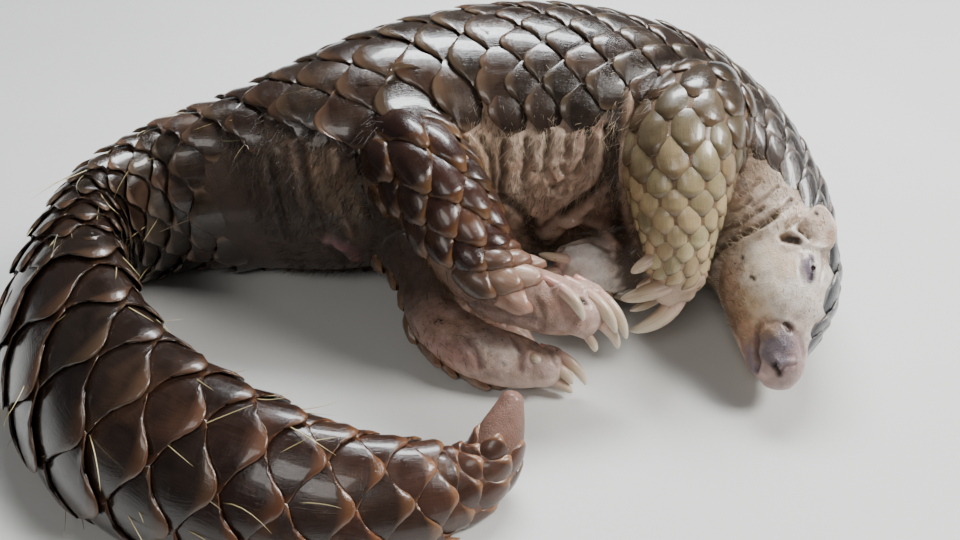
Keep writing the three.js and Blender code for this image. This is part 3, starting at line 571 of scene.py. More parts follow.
VOXEL = 1.3  # millimetres, of the skin's mesh
BODY_GRID = (260, 72)  # rings and corners of each, before the skin is remeshed
LEG_GRID = (70, 40)
CAP_STEPS = (0.35, 0.65, 0.88, 0.98)  # the rings of a rounded end, in shares of its length
WANDER = 0.24  # how fast the noise that frays folds and dirt changes, per millimetre
SEEDS = dict(axis=5, legs=20, hair=77)

# A fold's section, over the distance from its middle in half widths: how steep it is, and how
# far out and how high its shoulders are
FOLD = dict(steep=1.4, out=1.7, shoulder=0.22)

# The studio, in metres: half the floor's side, and each light's name, place, aim, size, watts
# and colour
FLOOR = 6.0
LIGHTS = [
    ("sky", (0.2, 0.85, 1.3), (0, 0.05, 0.05), (0.9, 0.4), 46, (0.93, 0.97, 1.0)),
    ("window", (1.0, -0.1, 1.0), (0.12, -0.02, 0.05), (0.4, 0.4), 24, (1.0, 0.99, 0.96)),
    ("front", (-0.5, -1.2, 1.5), (0.05, 0, 0.05), (0.8, 0.6), 8.5, (1.0, 0.97, 0.93)),
]
EYE_TONES = ((0.008, 0.005, 0.004), (0.03, 0.016, 0.01))


def unit(v):
    """The vectors at length one"""
    return v / np.maximum(np.linalg.norm(v, axis=-1, keepdims=True), 1e-9)


def smooth(low, high, x):
    """0 below low, 1 above high and a soft ramp between"""
    t = np.clip((x - low) / (high - low), 0, 1)
    return t * t * (3 - 2 * t)


def along_rows(rows, u):
    """The tuples of a table at stations between its rows"""
    stations = [row[0] for row in rows]
    values = [np.concatenate([np.ravel(v) for v in row[1:]]) for row in rows]
    return np.stack([np.interp(u, stations, channel) for channel in np.transpose(values)], -1)


def curve(a, b, c, d, t):
    """The smooth curve from b to c, where a comes before them and d after"""
    bend = 2 * a - 5 * b + 4 * c - d + (3 * (b - c) + d - a) * t
    return b + 0.5 * t * (c - a + t * bend)


class Form:
    """A round form along an axis, as in the part's source: rows give its place and depths"""

    def __init__(self, rows):
        self.rows = np.array(rows, float)
        self.last = len(rows) - 1

    def along(self, u):
        """The row at a station, on a smooth curve through the rows"""
        u = np.asarray(u, float)
        i = np.clip(np.floor(u).astype(int), 0, self.last - 1)
        near = (self.rows[np.clip(i + k, 0, self.last)] for k in (-1, 0, 1, 2))
        return curve(*near, (u - i)[..., None])

    def frame(self, u):
        """The row at a station, the ways forward, right and to the back, and its length"""
        u = np.asarray(u, float)
        row = self.along(u)
        run = (self.along(u + 0.02) - self.along(u - 0.02))[..., :3]
        forward = unit(run)
        side = unit(UP - forward * forward[..., 2:3])
        out = np.cross(side, forward)
        roll = np.radians(row[..., 6:7])
        right = side * np.cos(roll) - out * np.sin(roll)
        dorsal = out * np.cos(roll) + side * np.sin(roll)
        speed = np.linalg.norm(run, axis=-1) / 0.04
        return row, forward, right, dorsal, speed

    def point(self, u, angle, lift=0.0):
        """The surface at a station and an angle from the back, raised by a lift"""
        row, _, right, dorsal, _ = self.frame(u)
        turn = np.radians(np.asarray(angle, float))
        c, s = np.cos(turn), np.sin(turn)
        depth = np.where(c > 0, row[..., 4], row[..., 5]) + lift
        return (
            row[..., :3]
            + dorsal * (depth * c)[..., None]
            + right * ((row[..., 3] + lift) * s)[..., None]
        )

    def patch(self, u, angle):
        """A point of the surface, with the directions along the form, round it and out of it"""
        ahead = unit(self.point(u + 0.05, angle) - self.point(u - 0.05, angle))
        around = unit(self.point(u, angle + 3) - self.point(u, angle - 3))
        out = unit(np.cross(ahead, around))
        at = self.point(u, angle)
        centre = self.along(u)[..., :3]
        flip = np.where(np.sum(out * (at - centre), -1, keepdims=True) < 0, -1, 1)
        return at, ahead, around, out * flip


def body_form():
    """The axis, with each station set down on the floor"""
    rows = []
    for x, y, width, back, belly, roll, height in AXIS:
        turn = math.radians(roll)
        rest = math.hypot(width * math.cos(turn), (back + belly) / 2 * math.sin(turn))
        rows.append([x, y, rest - SINK + height, width, back, belly, roll])
    return Form(rows)


body = body_form()
legs = {name: Form([[*row, row[4], 0] for row in rows]) for name, rows in LEGS.items()}
forms = dict(axis=body, **legs)


# Meshes

def new_object(name, points, faces):
    """A smooth mesh object from points in millimetres of the tables"""
    mesh = bpy.data.meshes.new(name)
    mesh.from_pydata(((np.asarray(points) + SHIFT) / 1000).tolist(), [], faces)
    mesh.validate()
    mesh.update()
    mesh.polygons.foreach_set("use_smooth", [True] * len(mesh.polygons))
    piece = bpy.data.objects.new(name, mesh)
    bpy.context.collection.objects.link(piece)
    return piece


def mesh_of(piece):
    """The corners of a piece in millimetres of the tables, and its faces"""
    flat = np.empty(len(piece.data.vertices) * 3)
    piece.data.vertices.foreach_get("co", flat)
    faces = [tuple(face.vertices) for face in piece.data.polygons]
    return flat.reshape(-1, 3) * 1000 - SHIFT, faces


def move_vertices(piece, points):
    """The corners of a piece, set to places in millimetres of the tables"""
    piece.data.vertices.foreach_set("co", ((points + SHIFT) / 1000).ravel())
    piece.data.update()


def attribute(piece, name, values):
    """A vector for each corner, that a material reads"""
    layer = piece.data.attributes.new(name, "FLOAT_VECTOR", "POINT")
    layer.data.foreach_set("vector", values.ravel())


def give_map(piece, spots):
    """The map that a bake writes to, one spot for each corner"""
    layer = piece.data.uv_layers.new(name="OFBake")
    loops = np.empty(len(piece.data.loops), int)
    piece.data.loops.foreach_get("vertex_index", loops)
    layer.data.foreach_set("uv", spots[loops].astype(np.float32).ravel())


def dress(piece, look):
    """The material of a piece and the body that it rides"""
    piece.data.materials.append(look.material)
    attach(piece, "root")


def coat_piece(name, parts, look):
    """One piece of the coat, from parts that hold corners, faces, map spots and attributes"""
    faces, start = [], 0
    for part in parts:
        faces.append(part.pop("faces") + start)
        start += len(part["points"])
    layers = {key: np.concatenate([part[key] for part in parts]) for key in parts[0]}
    piece = new_object(name, layers.pop("points"), np.concatenate(faces).tolist())
    spots = layers.pop("bake")
    for key, values in layers.items():
        attribute(piece, key, values)
    give_map(piece, spots)
    dress(piece, look)


def tube_faces(rings, sides):
    """Quads between closed rings of corners, and the two end faces"""
    faces = []
    for i in range(rings - 1):
        for j in range(sides):
            k = (j + 1) % sides
            a, b = i * sides, (i + 1) * sides
            faces.append((a + j, a + k, b + k, b + j))
    faces.append(tuple(reversed(range(sides))))
    faces.append(tuple((rings - 1) * sides + j for j in range(sides)))
    return faces


def swept(form, steps, sides, caps=(0.6, 0.6)):
    """A form as closed rings, its ends rounded off by a share of their depth"""
    u = np.linspace(0, form.last, steps)
    angle = np.arange(sides) * 360 / sides
    ends = []
    for cap, station, sign in ((caps[0], 0, -1), (caps[1], form.last, 1)):
        row, forward, _, _, _ = form.frame(np.array(station))
        ring = form.point(np.full(sides, station), angle) - row[:3]
        ends.append([
            row[:3] + ring * math.sqrt(1 - t * t) + sign * forward * t * cap * row[4]
            for t in CAP_STEPS
        ])
    rings = np.concatenate([ends[0][::-1], form.point(u[:, None], angle[None, :]), ends[1]])
    return rings.reshape(-1, 3), tube_faces(len(rings), sides)


def egg(centre, directions, halves, rings=14, sides=20):
    """An ellipsoid of three half axes, set in three directions"""
    lat = np.linspace(0.06, math.pi - 0.06, rings)
    lon = np.arange(sides) * 2 * math.pi / sides
    x = np.sin(lat)[:, None] * np.cos(lon)
    y = np.sin(lat)[:, None] * np.sin(lon)
    z = np.broadcast_to(np.cos(lat)[:, None], x.shape)
    local = np.stack([x, y, z], -1) * np.asarray(halves, float)
    points = np.asarray(centre) + local @ np.asarray(directions)
    return points.reshape(-1, 3), tube_faces(rings, sides)


def strand(line, radii, sides=8):
    """A round bar of changing radius through a few points"""
    line = np.asarray(line, float)
    radii = np.asarray(radii, float)
    ahead = unit(np.gradient(line, axis=0))
    ref = np.where(np.abs(ahead[:, 2:3]) < 0.9, [[0, 0, 1.0]], [[1.0, 0, 0]])
    side = unit(np.cross(ahead, ref))
    over = np.cross(ahead, side)
    turn = np.arange(sides) * 2 * math.pi / sides
    ring = side[:, None] * np.cos(turn)[:, None] + over[:, None] * np.sin(turn)[:, None]
    points = line[:, None] + ring * radii[:, None, None]
    return points.reshape(-1, 3), tube_faces(len(line), sides)


def merged(shapes):
    """Several shapes of corners and faces as one"""
    points, faces, count = [], [], 0
    for some, theirs in shapes:
        points.append(some)
        faces += [tuple(k + count for k in face) for face in theirs]
        count += len(some)
    return np.concatenate(points), faces


# Where the photograph's camera sees things

def pixel_way(x, y):
    """The direction from the camera to a pixel of the photograph"""
    pitch = math.radians(CAMERA_PITCH)
    across = (x - PICTURE[0] / 2) / FOCAL
    down = (y - PICTURE[1] / 2) / FOCAL
    ahead = np.array([0, math.cos(pitch), -math.sin(pitch)])
    below = np.array([0, -math.sin(pitch), -math.cos(pitch)])
    return Vector(unit(ahead + below * down + np.array([across, 0, 0])))


def spread(pixels, step=4.0):
    """The pixels of a line and others between them"""
    found = [pixels[0]]
    for (x0, y0), (x1, y1) in zip(pixels[:-1], pixels[1:]):
        count = max(int(math.hypot(x1 - x0, y1 - y0) / step), 1)
        for k in range(1, count + 1):
            found.append((x0 + (x1 - x0) * k / count, y0 + (y1 - y0) * k / count))
    return found


def traced(tree, pixels):
    """The places of a surface that the camera sees along a line of pixels"""
    start = Vector((0, 0, CAMERA_HEIGHT))
    found = [tree.ray_cast(start, pixel_way(x, y))[0] for x, y in spread(pixels)]
    return np.array([at for at in found if at is not None])


# Claws

def claw_line(root, tip, bow, t):
    """Points along the middle of a claw, from its root at 0 to its tip at 1"""
    t = np.asarray(t, float)[:, None]
    return root + (np.array(tip, float) - root) * t + np.array(bow, float) * 4 * t * (1 - t)


def claw(root, tip, bow, width, rings=30, sides=24):
    """A curved blunt claw, deeper than it is wide, with a groove under it"""
    t = np.sin(np.linspace(-0.36, math.pi / 2, rings))
    line = claw_line(root, tip, bow, t)
    ahead = unit(np.gradient(line, axis=0))
    side = unit(np.cross(np.array(tip, float) - root, bow))
    under = np.cross(ahead, side)
    half = width * (1 - np.clip(t, 0, 1) ** 3) ** 0.62 + 0.1
    turn = np.arange(sides) * 2 * math.pi / sides
    groove = np.clip(np.sin(turn), 0, 1) ** 6
    ring = (
        side * (0.9 * np.cos(turn))[:, None]
        + under[:, None] * (1.1 * np.sin(turn) * (1 - 0.22 * groove))[:, None]
    )
    points = line[:, None] + ring * half[:, None, None]
    local = np.stack(np.broadcast_arrays(t[:, None], turn[None, :] / (2 * math.pi), width), -1)
    return points.reshape(-1, 3), tube_faces(rings, sides), local.reshape(-1, 3)


# Skin

def looped(rows, count):
    """A smooth closed loop through a few rows"""
    rows = np.array(rows, float)
    place = np.arange(count) * len(rows) / count
    i = np.floor(place).astype(int)
    near = (rows[(i + k) % len(rows)] for k in (-1, 0, 1, 2))
    return curve(*near, (place - i)[:, None])


def head_place(spot, side):
    """The place of an eye or an ear, and the directions along the head, round it and out of it"""
    return body.patch(np.array(spot["u"]), np.array(spot["angle"] * side))


def ear_shape(side):
    """A thick fleshy ear round its hollow, as a closed bowl"""
    at, ahead, around, out = head_place(EAR, side)
    across, along, height, thick = looped(EAR["rim"], EAR["steps"]).T
    flat = np.stack([across, along], 1)
    to_heart = np.array(EAR["heart"]) - flat
    inward = unit(to_heart)
    rings = []
    for inside, heart, share, more in EAR["rings"]:
        place = flat + inward * (inside * thick)[:, None] + to_heart * heart
        level = height * share + more
        rings.append(
            at + around * side * place[:, :1] + ahead * place[:, 1:] + out * level[:, None]
        )
    return np.concatenate(rings), tube_faces(len(rings), EAR["steps"])


def foot_shapes(foot):
    """The toes of a foot, each with its root of flesh round its claw"""
    centre = np.array(foot["centre"], float)
    ahead = unit(np.array(foot["ahead"], float))
    across = unit(np.cross(ahead, UP))
    halves = np.array(foot["halves"], float) - PAW_INSET
    shapes = [egg(centre, [ahead, across, np.cross(ahead, across)], halves)]
    for root, tip, bow, width in foot["claws"]:
        line = claw_line(root, tip, bow, TOE["along"])
        start = [centre + (line[0] - centre) * k for k in TOE["start"]]
        radii = np.array(TOE["radii"]) * width * foot["flesh"]
        shapes.append(strand([*start, *line], radii, 12))
    return shapes


def skin_shapes():
    """Everything that is flesh, as closed overlapping shapes"""
    shapes = [swept(body, *BODY_GRID, caps=(0.7, 0.4)), strand(HEEL["line"], HEEL["half"], 16)]
    for name, form in legs.items():
        shapes.append(swept(form, *LEG_GRID))
        shapes += foot_shapes(FEET[name])
    for side in (1, -1):
        at, ahead, around, out = head_place(EYE, side)
        shapes.append(egg(at - out * EYE["depth"], [ahead, around, out], EYE["lid"]))
        shapes.append(ear_shape(side))
    return shapes


def make_skin():
    """All the flesh as one skin of even, fine faces"""
    points, faces = merged(skin_shapes())
    points[:, 2] = np.maximum(points[:, 2], 0.0)
    skin = new_object("skin", points, faces)
    remesh = skin.modifiers.new("even", "REMESH")
    remesh.mode = "VOXEL"
    remesh.voxel_size = VOXEL / 1000
    remesh.use_smooth_shade = True
    soften = skin.modifiers.new("soften", "SMOOTH")
    soften.factor = 0.5
    soften.iterations = 5
    graph = bpy.context.evaluated_depsgraph_get()
    mesh = bpy.data.meshes.new_from_object(skin.evaluated_get(graph))
    skin.modifiers.clear()
    skin.data = mesh
    mesh.polygons.foreach_set("use_smooth", [True] * len(mesh.polygons))
    return skin


def base_paint(points):
    """The colour of each point by the nearest place of a form"""
    spots, colours = [], []
    angle = np.arange(0, 360, 9.0)
    for name, form in forms.items():
        u = np.arange(0, form.last + 0.01, 0.12)
        grid = form.point(u[:, None], angle[None, :])
        spots.append(grid.reshape(-1, 3))
        colours.append(np.repeat(along_rows(PAINT[name], u), len(angle), 0))
    spots, colours = np.concatenate(spots), np.concatenate(colours)
    tree = KDTree(len(spots))
    for k, spot in enumerate(spots):
        tree.insert(spot, k)
    tree.balance()
    return np.array([colours[tree.find(at)[1]] for at in points])


def distance_to(points, line):
    """How far each point lies from a line of places"""
    best = np.full(len(points), 1e9)
    for a, b in zip(line[:-1], line[1:]):
        run = b - a
        t = np.clip((points - a) @ run / max(run @ run, 1e-9), 0, 1)
        best = np.minimum(best, np.linalg.norm(points - a - t[:, None] * run, axis=1))
    return best


def carve(skin, points, paint, wander, tree):
    """The corners with folds pressed in or raised, and their paint with colours and painted shade
    washed over it
    """
    normals = np.empty(len(points) * 3)
    skin.data.vertices.foreach_get("normal", normals)
    sink = np.zeros(len(points))
    for width, depth, colour, strength, *lines in STROKES:
        for line in (traced(tree, pixels) for pixels in lines):
            low, high = line.min(0) - 3 * width, line.max(0) + 3 * width
            near = np.nonzero(np.all((points > low) & (points < high), 1))[0]
            away = distance_to(points[near], line) / width * (1 + 0.5 * wander[near])
            press = np.exp(-(away**2) * FOLD["steep"])
            if depth > 0:
                press -= FOLD["shoulder"] * np.exp(-((away - FOLD["out"]) ** 2) * 3)
            sink[near] += depth * press
            if colour is not None:
                cover = (strength * (1 - smooth(0.45, 1.5, away)))[:, None]
                paint[near] = paint[near] * (1 - cover) + np.array(colour) * cover
    for side in (1, -1):
        at, ahead, around, out = head_place(EYE, side)
        front = at + out * (EYE["lid"][2] - EYE["depth"])
        local = np.stack([(points - front) @ way for way in (ahead, around, out)], 1)
        sink += EYE["slit"][2] * np.exp(-np.sum((local / EYE["slit"]) ** 2, 1))
    points = points - normals.reshape(-1, 3) * sink[:, None]
    points[:, 2] = np.maximum(points[:, 2], 0.0)
    return points, paint


def marks_of(points, wander, tree):
    """How dirty each corner is, with painted shade on the cheek's edge, and how wet, in the first two
    of three channels
    """
    mark = np.tile([*EVEN_MARK, 0.0], (len(points), 1))
    for channel, marks in enumerate((DIRT_AND_SHADE, WET)):
        for width, amount, pixels in marks:
            away = distance_to(points, traced(tree, pixels)) / width * (1 + 0.6 * wander)
            cover = amount * (1 - smooth(0.2, 1.6, away))
            mark[:, channel] = np.maximum(mark[:, channel], cover)
    return mark


def finished_skin():
    """The skin with its folds and its paint, and the tree that rays are cast at"""
    skin = make_skin()
    points, faces = mesh_of(skin)
    tree = BVHTree.FromPolygons(points.tolist(), faces)
    wander = np.array([noise3(Vector(at) * WANDER) for at in points])
    attribute(skin, "mark", marks_of(points, wander, tree))
    points, paint = carve(skin, points, base_paint(points), wander, tree)
    move_vertices(skin, points)
    attribute(skin, "paint", paint)
    dress(skin, skin_look())
    return skin, BVHTree.FromPolygons(points.tolist(), faces)


# Scales

def stations_of(form, run):
    """The stations of the rows of a run, in the direction that its scutes point"""
    flow = 1 if run["stop"] > run["start"] else -1
    stations, u = [], run["start"]
    while (run["stop"] - u) * flow > 0:
        stations.append(u)
        row, _, _, _, speed = form.frame(np.array(min(max(u, 0.0), form.last)))
        u += flow * (run["pitch"][0] + run["pitch"][1] * row[3]) / speed
    return np.array(stations), flow


def is_scaled(zones, u, angle):
    """Whether each place of a form carries scutes"""
    found = np.zeros(np.shape(u), bool)
    for start, stop, middle, first, last in zones:
        share = (u - start) / (stop - start)
        away = (angle - middle + 180) % 360 - 180
        found |= (share >= 0) & (share <= 1) & (np.abs(away) <= first + (last - first) * share)
    return found


def ridden(form, under, middle, u, angle):
    """How far each scute is moved outwards to lie over the flesh that covers its place"""
    _, _, _, out = form.patch(u, angle)
    start = form.point(u, angle, -1.0)
    lift = np.zeros(u.shape)
    near = np.abs(middle[:, None] % 360 - 180) < RIDE["round"]
    near = near & (u > RIDE["first"]) & (u < RIDE["last"])
    for k in zip(*np.nonzero(near)):
        at = Vector(start[k] + out[k] * RIDE["reach"])
        hit, _, _, reach = under.ray_cast(at, Vector(-out[k]), RIDE["reach"])
        if hit is not None:
            lift[k] = max(RIDE["reach"] - reach - RIDE["sunk"], 0)
    grid = lift.reshape(-1, len(ALONG), len(ACROSS))
    for _ in range(3):
        grid = (grid + sum(np.roll(grid, step, way) for way in (1, 2) for step in (1, -1))) / 5
    lift = np.maximum(grid.reshape(lift.shape), lift)
    return out * lift[..., None]


def scute_faces(flow):
    """The faces of one scute: its top, its underside and its edge"""
    rows, cols = len(ALONG), len(ACROSS)
    size = rows * cols
    faces = []
    for a in range(rows - 1):
        for b in range(cols - 1):
            k = a * cols + b
            faces.append((k, k + 1, k + cols + 1, k + cols))
            faces.append((size + k, size + k + cols, size + k + cols + 1, size + k + 1))
    edge = (
        list(range(cols))
        + [a * cols + cols - 1 for a in range(1, rows)]
        + [(rows - 1) * cols + b for b in range(cols - 2, -1, -1)]
        + [a * cols for a in range(rows - 2, 0, -1)]
    )
    faces += [(a, a + size, b + size, b) for a, b in zip(edge, edge[1:] + edge[:1])]
    return np.array(faces)[:, ::-flow]


def scutes(form, run, zones, shape, tones, seed, under=None):
    """All the scutes of a run: corners, faces, and what the material reads at each corner.
    Where flesh lies over the form, as the thigh over the flank, they ride over it"""
    draw = np.random.default_rng(seed)
    stations, flow = stations_of(form, run)
    last = len(stations) - 1
    spacing = 360 / run["turn"]
    i, j = np.meshgrid(np.arange(1, last), np.arange(run["turn"]), indexing="ij")
    i, j = i.ravel(), j.ravel()
    middle = (j + (i % 2) / 2 + 0.5) * spacing
    keep = is_scaled(zones, stations[i], middle)
    i, middle = i[keep], middle[keep]
    count = len(i)
    _, _, _, _, speed = form.frame(np.clip(stations[i], 0, form.last))
    pitch = (np.abs(stations[i + 1] - stations[i - 1]) / 2 * speed)[:, None]
    s, t = np.meshgrid(ALONG, ACROSS, indexing="ij")
    s, t = s.ravel()[None, :], t.ravel()[None, :]
    grow = 1 + VARY["size"] * (2 * draw.random((count, 1)) - 1)
    lean = VARY["lean"] * (2 * draw.random((count, 1)) - 1)
    # half width of the shield along its length, in shares of the spacing of a row
    broad = shape["root"] + (shape["broad"] - shape["root"]) * smooth(0, 0.55, s)
    taper = 1 - (1 - shape["blunt"]) * np.clip((s - 0.5) / 0.5, 0, 1) ** shape["round"]
    angle = middle[:, None] + (t * broad * taper * grow + lean * (s - 0.3)) * spacing / 2
    # its place along the form, in rows, and the stations there
    row = i[:, None] - shape["back"] + (shape["front"] * grow + shape["back"]) * s
    row = row - shape["bow"] * t**2 * smooth(0.55, 1, s)
    u = np.interp(row, np.arange(last + 1), stations)
    u = u + np.maximum(row - last, 0) * (stations[-1] - stations[-2])
    # its height over the form
    rise = shape["rise"] * pitch * (shape["front"] + shape["back"]) * s
    tilt = shape["tilt"] * draw.random((count, 1)) * smooth(0.3, 1, s)
    crown = shape["crown"] * (1 - np.abs(t) ** 2.2) * smooth(0, 0.5, s)
    droop = shape["droop"] * smooth(0.86, 1, s)
    top = shape["sunk"] + rise + tilt + crown - droop
    thick = shape["thick"] * (0.35 + 0.65 * (1 - np.abs(t) ** 4) * (1 - s**6))
    lift = ridden(form, under, middle, u, angle) if under else 0
    upper = form.point(u, angle, top) + lift
    lower = form.point(u, angle, top - thick) + lift
    points = np.concatenate([upper, lower], 1).reshape(-1, 3)
    points[:, 2] = np.maximum(points[:, 2], 0.15 * draw.random())
    size = len(ALONG) * len(ACROSS)
    faces = scute_faces(flow) + (np.arange(count) * 2 * size)[:, None, None]
    place = np.stack(np.broadcast_arrays(t, s, draw.random((count, 1))), -1)
    place = np.concatenate([place, place], 1).reshape(-1, 3)
    colours = along_rows(tones, stations[i]) * (0.78 + 0.5 * draw.random((count, 1)))
    colours[:, [0, 3]] *= 0.95 + 0.2 * draw.random((count, 1))
    colours = np.repeat(colours, 2 * size, 0)
    # each scute has its own cell of the map, with the underside small in its middle
    cell = np.repeat(np.stack([i / (last + 1), middle / 360], 1), 2 * size, 0)
    small = 1 - 0.9 * np.tile(np.repeat([0, 1], size), count)
    spot = np.stack([(place[:, 1] - 0.5) * small, place[:, 0] / 2 * small], -1)
    return dict(
        points=points, faces=faces.reshape(-1, 4), place=place, horn=colours[:, :3],
        rim=colours[:, 3:], bake=cell + spot * 0.8 / np.array([last + 1, run["turn"]]),
    )


def scale_runs():
    """The runs of scutes of each piece: what the function of scutes is given for them"""
    runs = {}
    for name, shapes in AXIS_PIECES.items():
        runs[name] = [
            (body, AXIS_RUNS[run], AXIS_SCALED, shape, HORN_TONES["axis"], seed)
            for seed, (run, shape) in enumerate(shapes, SEEDS["axis"])
        ]
    for seed, (name, form) in enumerate(legs.items(), SEEDS["legs"]):
        shape = SCUTE_COBBLE if name == "fore_right" else SCUTE_LEG
        runs[name] = [(form, LEG_RUNS[name], LEG_SCALED[name], shape, HORN_TONES[name], seed)]
    return runs


def make_scales(tree):
    """Each group of scutes as one piece, with a column of the map for each of its runs"""
    look = scale_look()
    for name, runs in scale_runs().items():
        parts = [scutes(*run, under=None if name in legs else tree) for run in runs]
        for k, part in enumerate(parts):
            part["bake"] = (part["bake"] % 1 + [k, 0]) / [len(parts), 1]
        coat_piece(f"scales_{name}", parts, look)


def make_claws():
    """The claws of every foot, each in the place of its solid"""
    look = claw_look()
    for leg, foot in FEET.items():
        for k, one in enumerate(foot["claws"], 1):
            points, faces, place = claw(*one)
            piece = new_object(f"nail_{leg}_{k}", points, faces)
            attribute(piece, "place", place)
            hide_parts(f"claw_{leg}_{k}")
            dress(piece, look)


# Hair

def hair_mesh(spots, roots, normals, ways, lengths, widths, colour, draw):
    """Single hairs as thin closed cones that lean over their way and curl a little"""
    count = len(roots)
    t = np.linspace(0, 1, HAIR_RINGS)[None, :, None]
    sway = draw.normal(0, 0.22, (count, 1, 3))
    line = roots[:, None] + ways[:, None] * (lengths[:, None, None] * t)
    line = line + sway * lengths[:, None, None] * t**2
    line[..., 2] -= (lengths[:, None] * 0.12) * t[..., 0] ** 2
    side = unit(np.cross(ways, normals))
    over = unit(np.cross(ways, side))
    turn = (np.arange(HAIR_SIDES) * 2 * math.pi / HAIR_SIDES)[None, :, None]
    ring = side[:, None] * np.cos(turn) + over[:, None] * np.sin(turn)
    half = widths[:, None, None] * (1 - 0.9 * t**1.5)
    points = line[:, :, None] + ring[:, None] * half[..., None]
    points[..., 2] = np.maximum(points[..., 2], 0.1)
    quads = tube_faces(HAIR_RINGS, HAIR_SIDES)
    one = np.array([(f[0], f[k], f[k + 1]) for f in quads for k in range(1, len(f) - 1)])
    size = HAIR_RINGS * HAIR_SIDES
    faces = one + (np.arange(count) * size)[:, None, None]
    own = np.repeat(draw.random(count), size)
    along = np.tile(np.repeat(t.ravel(), HAIR_SIDES), count)
    around = np.tile(np.arange(HAIR_SIDES) / 2, count * HAIR_RINGS)
    return dict(
        points=points.reshape(-1, 3), faces=faces.reshape(-1, 3),
        place=np.stack([along, own, 0 * own], 1), tint=np.tile(colour, (count * size, 1)),
        bake=np.repeat(spots, size, 0) * (1 - BAKE_PATCH) + np.stack([along, around], 1) * BAKE_PATCH,
    )


def strip_hairs(kind, strip, tree, draw):
    """The hairs of one strip of a form, rooted on the skin as it lies"""
    name, stations, length, width, stand, along, sideways, colour = kind
    first, last, count = strip
    form = forms[name]
    u = draw.uniform(*stations, count)
    angle = draw.uniform(first, last, count)
    _, ahead, around, out = form.patch(u, angle)
    start = form.point(u, angle, HAIR_CAST)
    roots, normals, kept = [], [], []
    for k in range(count):
        hit, normal, _, _ = tree.ray_cast(Vector(start[k]), Vector(-out[k]), 2 * HAIR_CAST)
        if hit is not None and hit.z > HAIR_FLOOR:
            roots.append(hit)
            normals.append(normal)
            kept.append(k)
    roots, normals = np.array(roots), np.array(normals)
    if first > 180:
        sideways = -sideways
    ways = ahead[kept] * along + around[kept] * sideways
    ways = unit(ways + draw.normal(0, 0.35, (len(kept), 3)))
    ways = unit(ways - normals * np.sum(ways * normals, 1, keepdims=True))
    ways = unit(ways + normals * stand * draw.uniform(0.3, 1.3, (len(kept), 1)))
    lengths = length * (1 + HAIR_VARY * draw.uniform(-1, 1, len(kept)))
    widths = width * draw.uniform(0.6, 1.1, len(kept))
    spots = np.stack([u[kept] / form.last, angle[kept] / 360], 1)
    return hair_mesh(spots, roots - normals * 0.4, normals, ways, lengths, widths, colour, draw)


def bristles(first, last, side, count, length, vary, width, draw):
    """Pale stiff bristles that come out under the tips of scutes and lie along them"""
    u = draw.uniform(first, last, count)
    angle = draw.uniform(-side, side, count)
    _, ahead, around, out = body.patch(u, angle)
    ways = unit(-ahead + 0.35 * draw.normal(0, 1, (count, 1)) * around + out * 0.34)
    lengths = length * (1 + vary * draw.uniform(-1, 1, count))
    spots = np.stack([u / body.last, (angle % 360) / 360], 1)
    roots, widths = body.point(u, angle, 1.0), np.full(count, width)
    return hair_mesh(spots, roots, out, ways, lengths, widths, BRISTLE_COLOUR, draw)


def make_hair(tree):
    """Each region of hair as one piece, and the bristles as another"""
    look = hair_look()
    draw = np.random.default_rng(SEEDS["hair"])
    for name, kinds in HAIRS.items():
        parts = [
            strip_hairs(kind, strip, tree, draw) for kind, *strips in kinds for strip in strips
        ]
        coat_piece(f"hair_{name}", parts, look)
    coat_piece("hair_bristles", [bristles(*row, draw) for row in BRISTLES], look)


# Materials

